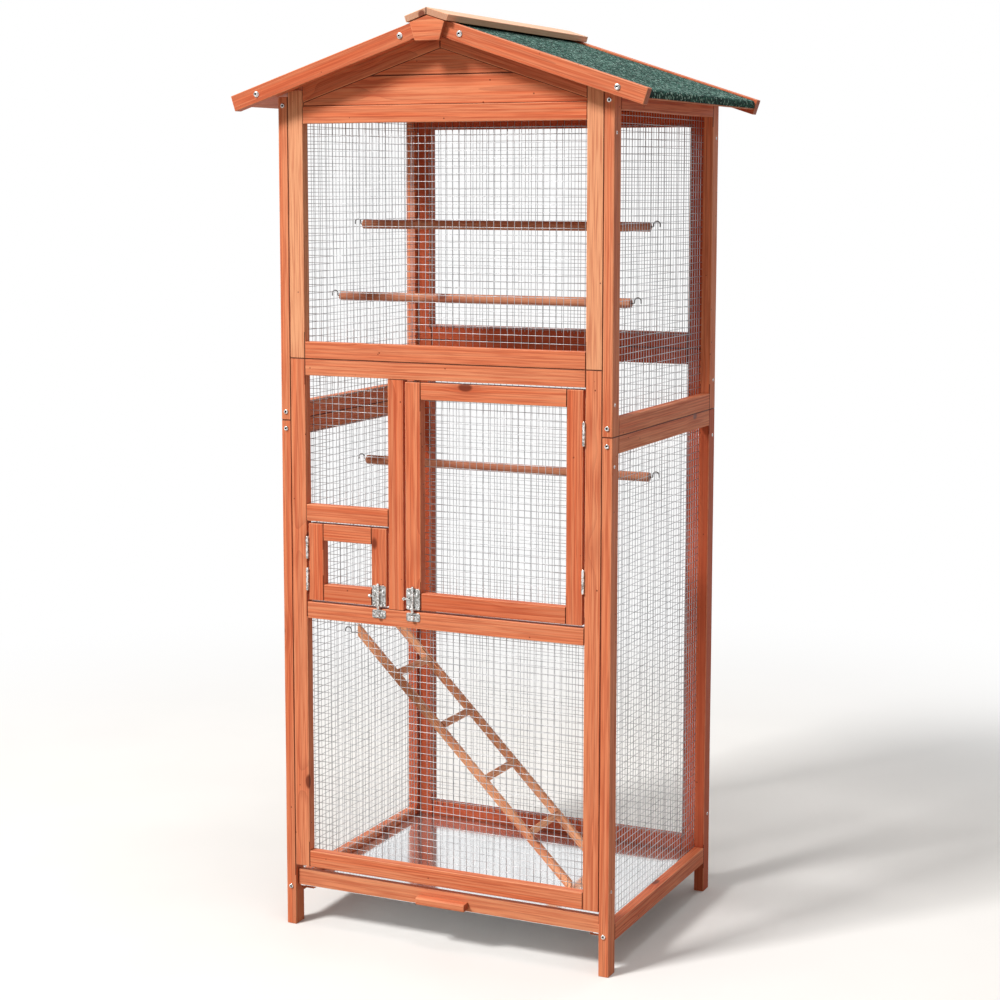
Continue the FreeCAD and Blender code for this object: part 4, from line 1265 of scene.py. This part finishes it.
# %% Hinges
KNUCKLE = 2.5 * MM
KNUCKLE_GAP = 0.3 * MM
KNUCKLE_EASE = 0.35 * MM
PIN_BORE = 1.05 * MM
PIN = 1.0 * MM
PIN_END = 1.0 * MM
GAP_HALF = 2.0 * MM
LEAF_BACK = 16.8 * MM
LEAF_FRONT = 0.8 * MM
BARREL_SIDES = 28


def knuckle_rings(high):
    """A hollow barrel: its outside, its ends and its bore."""
    outside = eased_rings(high, KNUCKLE, KNUCKLE_EASE)
    return [(0, PIN_BORE)] + outside + [(high, PIN_BORE), (0, PIN_BORE)]


def pin_rings(high):
    """A pin with a domed head at each end."""
    dome = PIN * 0.3
    foot = [(0, 0), (0, PIN * 0.5), (dome, PIN)]
    return foot + [(high - dome, PIN), (high, PIN * 0.5), (high, 0)]


def roll_leaf(stock, pin, side, foot, high, spans):
    """One leaf of a hinge: the plate on its side of the gap and the knuckles at some heights."""
    near = pin.x + side * (GAP_HALF - PLATE)
    far = pin.x + side * GAP_HALF
    left, right = min(near, far), max(near, far)
    edge_y = front_face + LEAF_FRONT
    take_plate(stock, (left, edge_y, foot), (right, front_face + LEAF_BACK, foot + high))
    for start, length in spans:
        base = Vector((pin.x, pin.y, foot + start))
        take_plate(stock, (left, pin.y, base.z), (right, edge_y, base.z + length), TAB_EASE)
        stock.take(*turned(knuckle_rings(length), base, UP, BARREL_SIDES))


front_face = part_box("front_lower_stiles")[0].y
frame_leaves = Stock()
hinge_pins = Stock()
door_leaves = {"big_door": Stock(), "small_door": Stock()}
for solid in solids["hinge_pins"]:
    corners = [Vector(place) for triangle in solid for place in triangle]
    foot = min(corner.z for corner in corners) + PIN_END
    high = max(corner.z for corner in corners) - PIN_END - foot
    pin = sum(corners, Vector()) / len(corners)
    door = "big_door" if pin.x > 0 else "small_door"
    side = 1 if pin.x > 0 else -1
    third = high / 3
    outer = [(0, third), (third * 2, third)]
    roll_leaf(frame_leaves, pin, side, foot, high, outer)
    middle_span = [(third + KNUCKLE_GAP, third - 2 * KNUCKLE_GAP)]
    roll_leaf(door_leaves[door], pin, -side, foot, high, middle_span)
    base = Vector((pin.x, pin.y, foot - PIN_END))
    hinge_pins.take(*turned(pin_rings(high + 2 * PIN_END), base, UP, BARREL_SIDES))
frame_leaves.piece("rolled_frame_leaves", "zinc_hardware", "case", "frame_hinge_leaves")
hinge_pins.piece("domed_pins", "zinc_hardware", "case", "hinge_pins")
for door, stock in door_leaves.items():
    stock.piece("rolled_" + door + "_leaves", "zinc_hardware", door, door + "_hinge_leaves")
print("hinges", len(solids["hinge_pins"]))


# %% [markdown]
# Bolt heads and screws. The frame's bolts have a flat round head with a hexagon socket, the ones in the
# barge boards sit on washers. A socket is a hole with six sides in a round head: the same turned rings do
# both, if a ring's radius may depend on the angle. The small screws have a cross pressed into them the
# same way.

# %% Bolt heads
HEAD_SIDES = 36
BOLT_HEAD = 4.0 * MM
BOLT_HIGH = 2.2 * MM
SOCKET = 2.0 * MM
SOCKET_DEEP = 1.5 * MM
SOCKET_RING = 4
SOCKET_EASE = 0.15 * MM
HEAD_SHOULDER = 0.7 * MM
HEAD_EASE = 0.2 * MM
HEAD_ROUND = 0.25 * MM
HEAD_FLAT = 0.8 * MM
WASHER = 5.2 * MM
WASHER_THICK = 1.0 * MM


def hexagon(corner):
    """The radius of a hexagon at an angle."""
    sixth = math.tau / 6
    return lambda angle: corner * math.cos(sixth / 2) / math.cos(angle % sixth - sixth / 2)


def bolt_rings(seat):
    """A head from its seat up, over its rim and down into its socket."""
    top = seat + BOLT_HIGH
    return [
        (seat, BOLT_HEAD),
        (top - HEAD_SHOULDER, BOLT_HEAD),
        (top - HEAD_EASE, BOLT_HEAD - HEAD_ROUND),
        (top, BOLT_HEAD - HEAD_FLAT),
        (top, hexagon(SOCKET + SOCKET_EASE)),
        (top - HEAD_EASE, hexagon(SOCKET)),
        (top - SOCKET_DEEP, hexagon(SOCKET)),
        (top - SOCKET_DEEP, 0),
    ]


def washer_rings():
    """A washer from its foot up, over its rim and in under the head."""
    return [
        (0, WASHER),
        (WASHER_THICK - HEAD_EASE, WASHER),
        (WASHER_THICK, WASHER - HEAD_ROUND),
        (WASHER_THICK, BOLT_HEAD * 0.8),
    ]


def take_turned(stock, rings, base, axis, sides, shaded_from):
    """Adds a turned shape whose faces are darkened with painted shade from a ring on."""
    places, faces = turned(rings, base, axis, sides)
    marks = [(0, 0, 1.0 if index // sides >= shaded_from else 0.0) for index in range(len(faces))]
    stock.take(places, faces, None, None, marks)


def corners_of(solid):
    """The lowest and highest corner of a solid."""
    corners = [Vector(place) for triangle in solid for place in triangle]
    low = Vector([min(corner[axis] for corner in corners) for axis in range(3)])
    high = Vector([max(corner[axis] for corner in corners) for axis in range(3)])
    return low, high


def set_bolts(node, with_washer):
    """A head for each solid of the node, on the face that the solid stands on."""
    stock = Stock()
    for solid in solids[node]:
        low, high = corners_of(solid)
        base = (low + high) / 2
        axis = Vector((0, -1 if base.y < 0 else 1, 0))
        base.y = high.y if base.y < 0 else low.y
        if with_washer:
            stock.take(*turned(washer_rings(), base, axis, HEAD_SIDES))
        seat = WASHER_THICK if with_washer else 0
        take_turned(stock, bolt_rings(seat), base, axis, HEAD_SIDES, SOCKET_RING)
    return stock.piece("plated_" + node, slots[node], body_of(node), node)


washers = {"frame_bolts": False, "barge_bolts": True}
for node, with_washer in washers.items():
    set_bolts(node, with_washer)
print("bolt heads", sum(len(solids[node]) for node in washers))


# %% Screws
SCREW = 3.0 * MM
SCREW_PROUD = 0.25 * MM
CROSS_LONG = 1.8 * MM
CROSS_WIDE = 0.5 * MM
CROSS_DEEP = 0.9 * MM
CROSS_HEART = 1.2
LEAST_SINE = 0.05
CROSS_RING = 3
SCREW_SIDES = 32
PLATE_SCREW = 1.9 * MM


def cross(long, wide):
    """The radius of a cross with blunt arms at an angle."""

    def reach(angle):
        sine = abs(math.sin(angle))
        cosine = abs(math.cos(angle))
        arm = min(long / max(sine, cosine), wide / max(min(sine, cosine), LEAST_SINE))
        return max(arm, wide * CROSS_HEART)

    return reach


def screw_rings(radius):
    """A countersunk head: a low dome with a cross in it."""
    share = radius / SCREW
    arm = CROSS_LONG * share
    slot = CROSS_WIDE * share
    floor = SCREW_PROUD - CROSS_DEEP * share
    return [
        (0, radius),
        (SCREW_PROUD * 0.7, radius - HEAD_EASE),
        (SCREW_PROUD, radius * 0.75),
        (SCREW_PROUD, cross(arm, slot)),
        (floor, cross(arm * 0.5, slot * 0.6)),
        (floor, 0),
    ]


def drive_screws(name, body, places, radius):
    """Screw heads at places, each with the direction that it faces."""
    stock = Stock()
    for base, axis in places:
        take_turned(stock, screw_rings(radius), base, axis, SCREW_SIDES, CROSS_RING)
    return stock.piece(name, "zinc_hardware", body)


SCREW_HEIGHTS = (150 * MM, 886 * MM, 990 * MM, 1440 * MM)
SCREW_INSET = 11 * MM
leg_low, leg_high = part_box("side_legs")
panel_screws = []
for side in (-1, 1):
    for y in (leg_low.y + SCREW_INSET, leg_high.y - SCREW_INSET):
        for z in SCREW_HEIGHTS:
            panel_screws.append((Vector((side * leg_high.x, y, z)), Vector((side, 0, 0))))
drive_screws("panel_screws", "case", panel_screws, SCREW)
print("panel screws", len(panel_screws))


# %% [markdown]
# Barrel bolts. Each is pressed from bright plate: a back plate with rounded corners and raised ribs
# beside the rod, straps rolled over the rod with small flanges, a keeper with its own strap on the rail
# below, and a rod with a side knob. The glitter of the real ones comes from all those small curves, so
# they are modelled and not painted. A strap is a bent strip: its section is drawn once round the rod and
# drawn out upwards.

# %% Barrel bolts
ROD = 2.5 * MM
ROD_STAND = 3.2 * MM
ROD_EASE = 0.6 * MM
STRAP_OUTSIDE = 3.7 * MM
STRAP_INSIDE = 2.75 * MM
FLANGE = 2.6 * MM
FLANGE_THICK = 0.8 * MM
STRAP_BEND = 12
STRAP_HIGH = 4.0 * MM
UPPER_STRAP = 24.0 * MM
KEEPER_STRAP_HIGH = 8.0 * MM
RIB_WIDE = 1.5 * MM
RIB_HIGH = 1.1 * MM
RIB_END = 8.1 * MM
RIB_OUT = 7.6 * MM
RIB_SIDES = 14
RIB_STEPS = 8
PLATE_CORNER = 3.0 * MM
CORNER_STEPS = 5
PLATE_INSET = 3.6 * MM
PLATE_RISE = 3.8 * MM
# The back plates of the barrel bolts are darkened by this share, as painted shade between the ribs and the
# rod.
PLATE_SHADE_SHARE = 0.30
TO_FRONT = -TO_REAR


def drawn_out(section, origin, direction, length):
    """A closed flat outline, drawn out along a direction into a working mesh."""
    shape = bmesh.new()
    foot = [shape.verts.new(origin + place) for place in section]
    top = [shape.verts.new(origin + place + direction * length) for place in section]
    shape.faces.new(foot[::-1])
    shape.faces.new(top)
    for index in range(len(section)):
        after = (index + 1) % len(section)
        shape.faces.new([foot[index], foot[after], top[after], top[index]])
    bmesh.ops.recalc_face_normals(shape, faces=shape.faces)
    return shape


def take_drawn(stock, section, origin, direction, length, ease, recess_shade=0.0):
    """Adds an outline drawn out, smooth along its sides."""
    shape = drawn_out(section, origin, direction, length)
    eased = ease_edges(shape, ease)
    for face in shape.faces:
        face[eased] = 1 if abs(face.normal.dot(direction)) < 0.5 else face[eased]
    # Faces darkened by the given share, as painted shade.
    stock.take_shape(shape, eased, None, [(0, 0, recess_shade)] * len(shape.faces))


def corner_round(centre, start):
    """Points round one corner of a plate, a quarter turn from the start angle."""
    places = []
    for step in range(CORNER_STEPS + 1):
        angle = start + math.pi / 2 * step / CORNER_STEPS
        places.append(centre + Vector((math.cos(angle), 0, math.sin(angle))) * PLATE_CORNER)
    return places


def press_plate(stock, low, high):
    """A back plate with rounded corners; its front face lies a plate's thickness before the wood."""
    left, right = low.x + PLATE_CORNER, high.x - PLATE_CORNER
    foot, top = low.z + PLATE_CORNER, high.z - PLATE_CORNER
    centres = ((right, top), (left, top), (left, foot), (right, foot))
    section = []
    for quarter, (x, z) in enumerate(centres):
        section += corner_round(Vector((x, 0, z)), math.pi / 2 * quarter)
    origin = Vector((0, high.y, 0))
    take_drawn(stock, section, origin, TO_FRONT, PLATE, METAL_EASE, PLATE_SHADE_SHARE)


def strap_section():
    """A strap seen along the rod: a flange, up over the rod and down to the other flange."""
    edge = STRAP_OUTSIDE + FLANGE
    middle = Vector((0, -ROD_STAND, 0))
    outside = [Vector((-edge, -FLANGE_THICK, 0)), Vector((-STRAP_OUTSIDE, -FLANGE_THICK, 0))]
    inside = [Vector((-edge, 0, 0)), Vector((-STRAP_INSIDE, 0, 0))]
    for step in range(STRAP_BEND + 1):
        angle = math.pi * (1 - step / STRAP_BEND)
        direction = Vector((math.cos(angle), -math.sin(angle), 0))
        outside.append(middle + direction * STRAP_OUTSIDE)
        inside.append(middle + direction * STRAP_INSIDE)
    outside += [Vector((STRAP_OUTSIDE, -FLANGE_THICK, 0)), Vector((edge, -FLANGE_THICK, 0))]
    inside += [Vector((STRAP_INSIDE, 0, 0)), Vector((edge, 0, 0))]
    return outside + inside[::-1]


def press_latch(stock, low, high, straps, rise):
    """A plate with its straps and screws. The straps are given by their foot and height."""
    press_plate(stock, low, high)
    centre_x = (low.x + high.x) / 2
    face_y = high.y - PLATE
    for start, length in straps:
        origin = Vector((centre_x, face_y, low.z + start))
        take_drawn(stock, strap_section(), origin, UP, length, TAB_EASE)
    for x in (low.x + PLATE_INSET, high.x - PLATE_INSET):
        for z in sorted({low.z + rise, high.z - rise}):
            base = Vector((x, face_y, z))
            take_turned(stock, screw_rings(PLATE_SCREW), base, TO_FRONT, SCREW_SIDES, CROSS_RING)


def press_ribs(stock, low, high):
    """Two raised ribs with round ends beside the rod."""
    centre_x = (low.x + high.x) / 2
    for side in (-1, 1):
        foot = Vector((centre_x + side * RIB_OUT, high.y - PLATE, low.z + RIB_END))
        top = Vector((foot.x, foot.y, high.z - RIB_END))
        line = [foot.lerp(top, step / RIB_STEPS) for step in range(RIB_STEPS + 1)]
        places, faces = tube(line, RIB_WIDE, RIB_SIDES, TO_FRONT)
        for place in places:
            place.y = foot.y + (place.y - foot.y) * RIB_HIGH / RIB_WIDE
        stock.take(places, faces)


def rod_rings(high):
    """A rod with eased ends."""
    return [(0, 0)] + eased_rings(high, ROD, ROD_EASE) + [(high, 0)]


KNOB_STEM = 1.8 * MM
GRIP = 3.5 * MM
GRIP_LONG = 5.0 * MM
GRIP_EASE = 0.2 * MM
GRIP_ROUND = 0.9 * MM
KNOB_RISE = 19.0 * MM


def knob_rings(reach):
    """A thin stem out from the rod to a rounded grip."""
    start = reach - GRIP_LONG
    return [
        (0, 0),
        (0, KNOB_STEM),
        (start, KNOB_STEM * 0.9),
        (start + GRIP_EASE, GRIP * 0.7),
        (start + GRIP_ROUND, GRIP * 0.95),
        (start + GRIP_LONG * 0.5, GRIP),
        (reach - GRIP_ROUND, GRIP * 0.93),
        (reach - GRIP_EASE, GRIP * 0.65),
        (reach, GRIP * 0.3),
        (reach, 0),
    ]


def turn_bolt(door):
    """The rod and its knob."""
    low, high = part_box(door + "_bolt")
    plate_low, plate_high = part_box(door + "_latch_plate")
    rod_x = (plate_low.x + plate_high.x) / 2
    rod_y = plate_high.y - PLATE - ROD_STAND
    knob_z = plate_low.z + KNOB_RISE
    stock = Stock()
    stock.take(*turned(rod_rings(high.z - low.z), Vector((rod_x, rod_y, low.z)), UP, BARREL_SIDES))
    knob = Vector((rod_x, rod_y, knob_z))
    stock.take(*turned(knob_rings(rod_x - low.x), knob, -TO_RIGHT, BARREL_SIDES))
    node = door + "_bolt"
    return stock.piece("bright_" + node, "zinc_hardware", body_of(node), node)


for door in ("big_door", "small_door"):
    plate = Stock()
    low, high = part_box(door + "_latch_plate")
    press_latch(plate, low, high, [(0, STRAP_HIGH), (UPPER_STRAP, STRAP_HIGH)], PLATE_RISE)
    press_ribs(plate, low, high)
    plate.piece("pressed_" + door + "_plate", "zinc_hardware", door, door + "_latch_plate")
    turn_bolt(door)
keepers = Stock()
for solid in solids["latch_keepers"]:
    low, high = corners_of(solid)
    middle_rise = (high.z - low.z) / 2
    strap = middle_rise - KEEPER_STRAP_HIGH / 2
    press_latch(keepers, low, high, [(strap, KEEPER_STRAP_HIGH)], middle_rise)
keepers.piece("pressed_keepers", "zinc_hardware", "case", "latch_keepers")
print("barrel bolts", len(solids["latch_keepers"]))


# %% [markdown]
# The stage. A pale floor catches the cage's shadow and fades into a white surround a few metres out, so
# that no horizon cuts the picture. Camera rays, and the rays that metal sends back, see that surround as
# plain white; the light itself comes from the world and from three soft lamps. The photograph's cage
# stands on a lawn, which sends little light up between the battens, so the rays that light the cage meet
# a darker floor than the camera.

# %% Floor and surround
FLOOR_SIZE = 60.0
FADE_NEAR = 0.9
FADE_FAR = 2.8
FLOOR_TONE = (0.88, 0.88, 0.88)
FLOOR_DUSTY = (0.86, 0.86, 0.86)
FLOOR_UNSEEN = (0.34, 0.31, 0.26)
DUST_RANGE = (0.3, 0.7)
FLOOR_ROUGH = 0.8


def seen_rays(tree_of):
    """1 for rays that come from the camera, a mirror or clear glass."""
    node = tree_of.add("ShaderNodeLightPath").socket.node
    camera, glossy, clear = (
        Value(tree_of, named_socket(node.outputs, key))
        for key in ("Is Camera Ray", "Is Glossy Ray", "Is Transmission Ray")
    )
    return tree_of.sum("MINIMUM", camera + glossy + clear, 1.0)


def floor_finish():
    floor = Finish("pale floor")
    x, y, z = floor.parts(floor.place())
    distance = (x * x + y * y) ** 0.5
    dust = floor.cloud(floor.place(), (3, 3, 3), 2.0)
    pale = floor.blend(floor.ramp(dust, *DUST_RANGE), FLOOR_TONE, FLOOR_DUSTY)
    seen = seen_rays(floor)
    floor.surface(Base_Color=floor.blend(seen, FLOOR_UNSEEN, pale), Roughness=FLOOR_ROUGH)
    white = floor.add("ShaderNodeEmission", sockets={"Color": (1, 1, 1), "Strength": 1.0})
    fade = floor.ramp(distance, FADE_NEAR, FADE_FAR) * seen
    ground = Value(floor, floor.shader.outputs[0])
    mixed = floor.add("ShaderNodeMixShader", sockets={0: fade, 1: ground, 2: white})
    floor.feed(floor.tree.nodes["Material Output"].inputs["Surface"], mixed)
    return floor.material


def make_floor():
    mesh = bpy.data.meshes.new("floor")
    half = FLOOR_SIZE / 2
    corners = [(-half, -half, 0), (half, -half, 0), (half, half, 0), (-half, half, 0)]
    mesh.from_pydata(corners, [], [[0, 1, 2, 3]])
    mesh.materials.append(floor_finish())
    floor = bpy.data.objects.new("floor", mesh)
    bpy.context.scene.collection.objects.link(floor)
    floor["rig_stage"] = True


make_floor()
print("floor", FLOOR_SIZE)


# %% World and lamps
WORLD_STRENGTH = 0.30
WORLD_TONE = (1.0, 0.95, 0.88)
LAMPS = (
    ("key", (-3.9, -6.9, 8.6), 2.2, 1300, (1.0, 0.97, 0.93)),
    ("back", (1.8, 4.0, 4.2), 2.4, 24, (1.0, 1.0, 1.0)),
    ("top", (0.7, -0.6, 6.0), 1.6, 60, (1.0, 0.99, 0.97)),
)


class Surround(Finish):
    """The world, with the same way of adding nodes."""

    def __init__(self):
        self.world = bpy.data.worlds.new("surround")
        self.world.use_nodes = True
        self.tree = self.world.node_tree
        self.shader = self.tree.nodes["Background"]


def make_world():
    surround = Surround()
    surround.surface(Color=WORLD_TONE, Strength=WORLD_STRENGTH)
    white = surround.add("ShaderNodeBackground", sockets={"Color": (1, 1, 1), "Strength": 1.0})
    lighting = Value(surround, surround.shader.outputs[0])
    mixed = surround.add("ShaderNodeMixShader", sockets={0: seen_rays(surround), 1: lighting, 2: white})
    surround.feed(surround.tree.nodes["World Output"].inputs["Surface"], mixed)
    bpy.context.scene.world = surround.world


def make_lamp(name, place, target, size, watts, colour):
    """A soft square lamp that looks at a point."""
    data = bpy.data.lights.new(name, "AREA")
    data.size = size
    data.energy = watts
    data.color = colour
    lamp = bpy.data.objects.new(name, data)
    lamp.location = place
    lamp.rotation_euler = (Vector(target) - Vector(place)).to_track_quat("-Z", "Y").to_euler()
    bpy.context.scene.collection.objects.link(lamp)


make_world()
middle = (cad_low + cad_high) / 2
for name, place, size, watts, colour in LAMPS:
    make_lamp(name, place, middle, size, watts, colour)
print("lamps", len(bpy.data.lights))


# %% [markdown]
# The camera stands to the right of the cage at shoulder height and looks down a little. Its place comes
# from matching the corners of the battens in the photograph.

# %% Camera
FOCAL_PIXELS = 2095.7
IMAGE_WIDE = 1000
SENSOR = 36.0
CAMERA_PLACE = (1.6044, -3.4774, 1.3593)
CAMERA_YAW = 25.369
CAMERA_DROP = 7.016
CENTRE_X = 480
CENTRE_Y = 440


def make_camera():
    data = bpy.data.cameras.new("camera")
    data.sensor_width = SENSOR
    data.lens = FOCAL_PIXELS / IMAGE_WIDE * SENSOR
    data.shift_x = 0.5 - CENTRE_X / IMAGE_WIDE
    data.shift_y = CENTRE_Y / IMAGE_WIDE - 0.5
    camera = bpy.data.objects.new("camera", data)
    camera.location = CAMERA_PLACE
    camera.rotation_euler = (math.radians(90 - CAMERA_DROP), 0, math.radians(CAMERA_YAW))
    bpy.context.scene.collection.objects.link(camera)
    bpy.context.scene.camera = camera


make_camera()
bpy.context.scene.view_settings.view_transform = "Standard"
print("lens", round(bpy.context.scene.camera.data.lens, 1), "mm")


# %% Measure and finish
low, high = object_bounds()
print("visual box", [round(side, 4) for side in high - low])
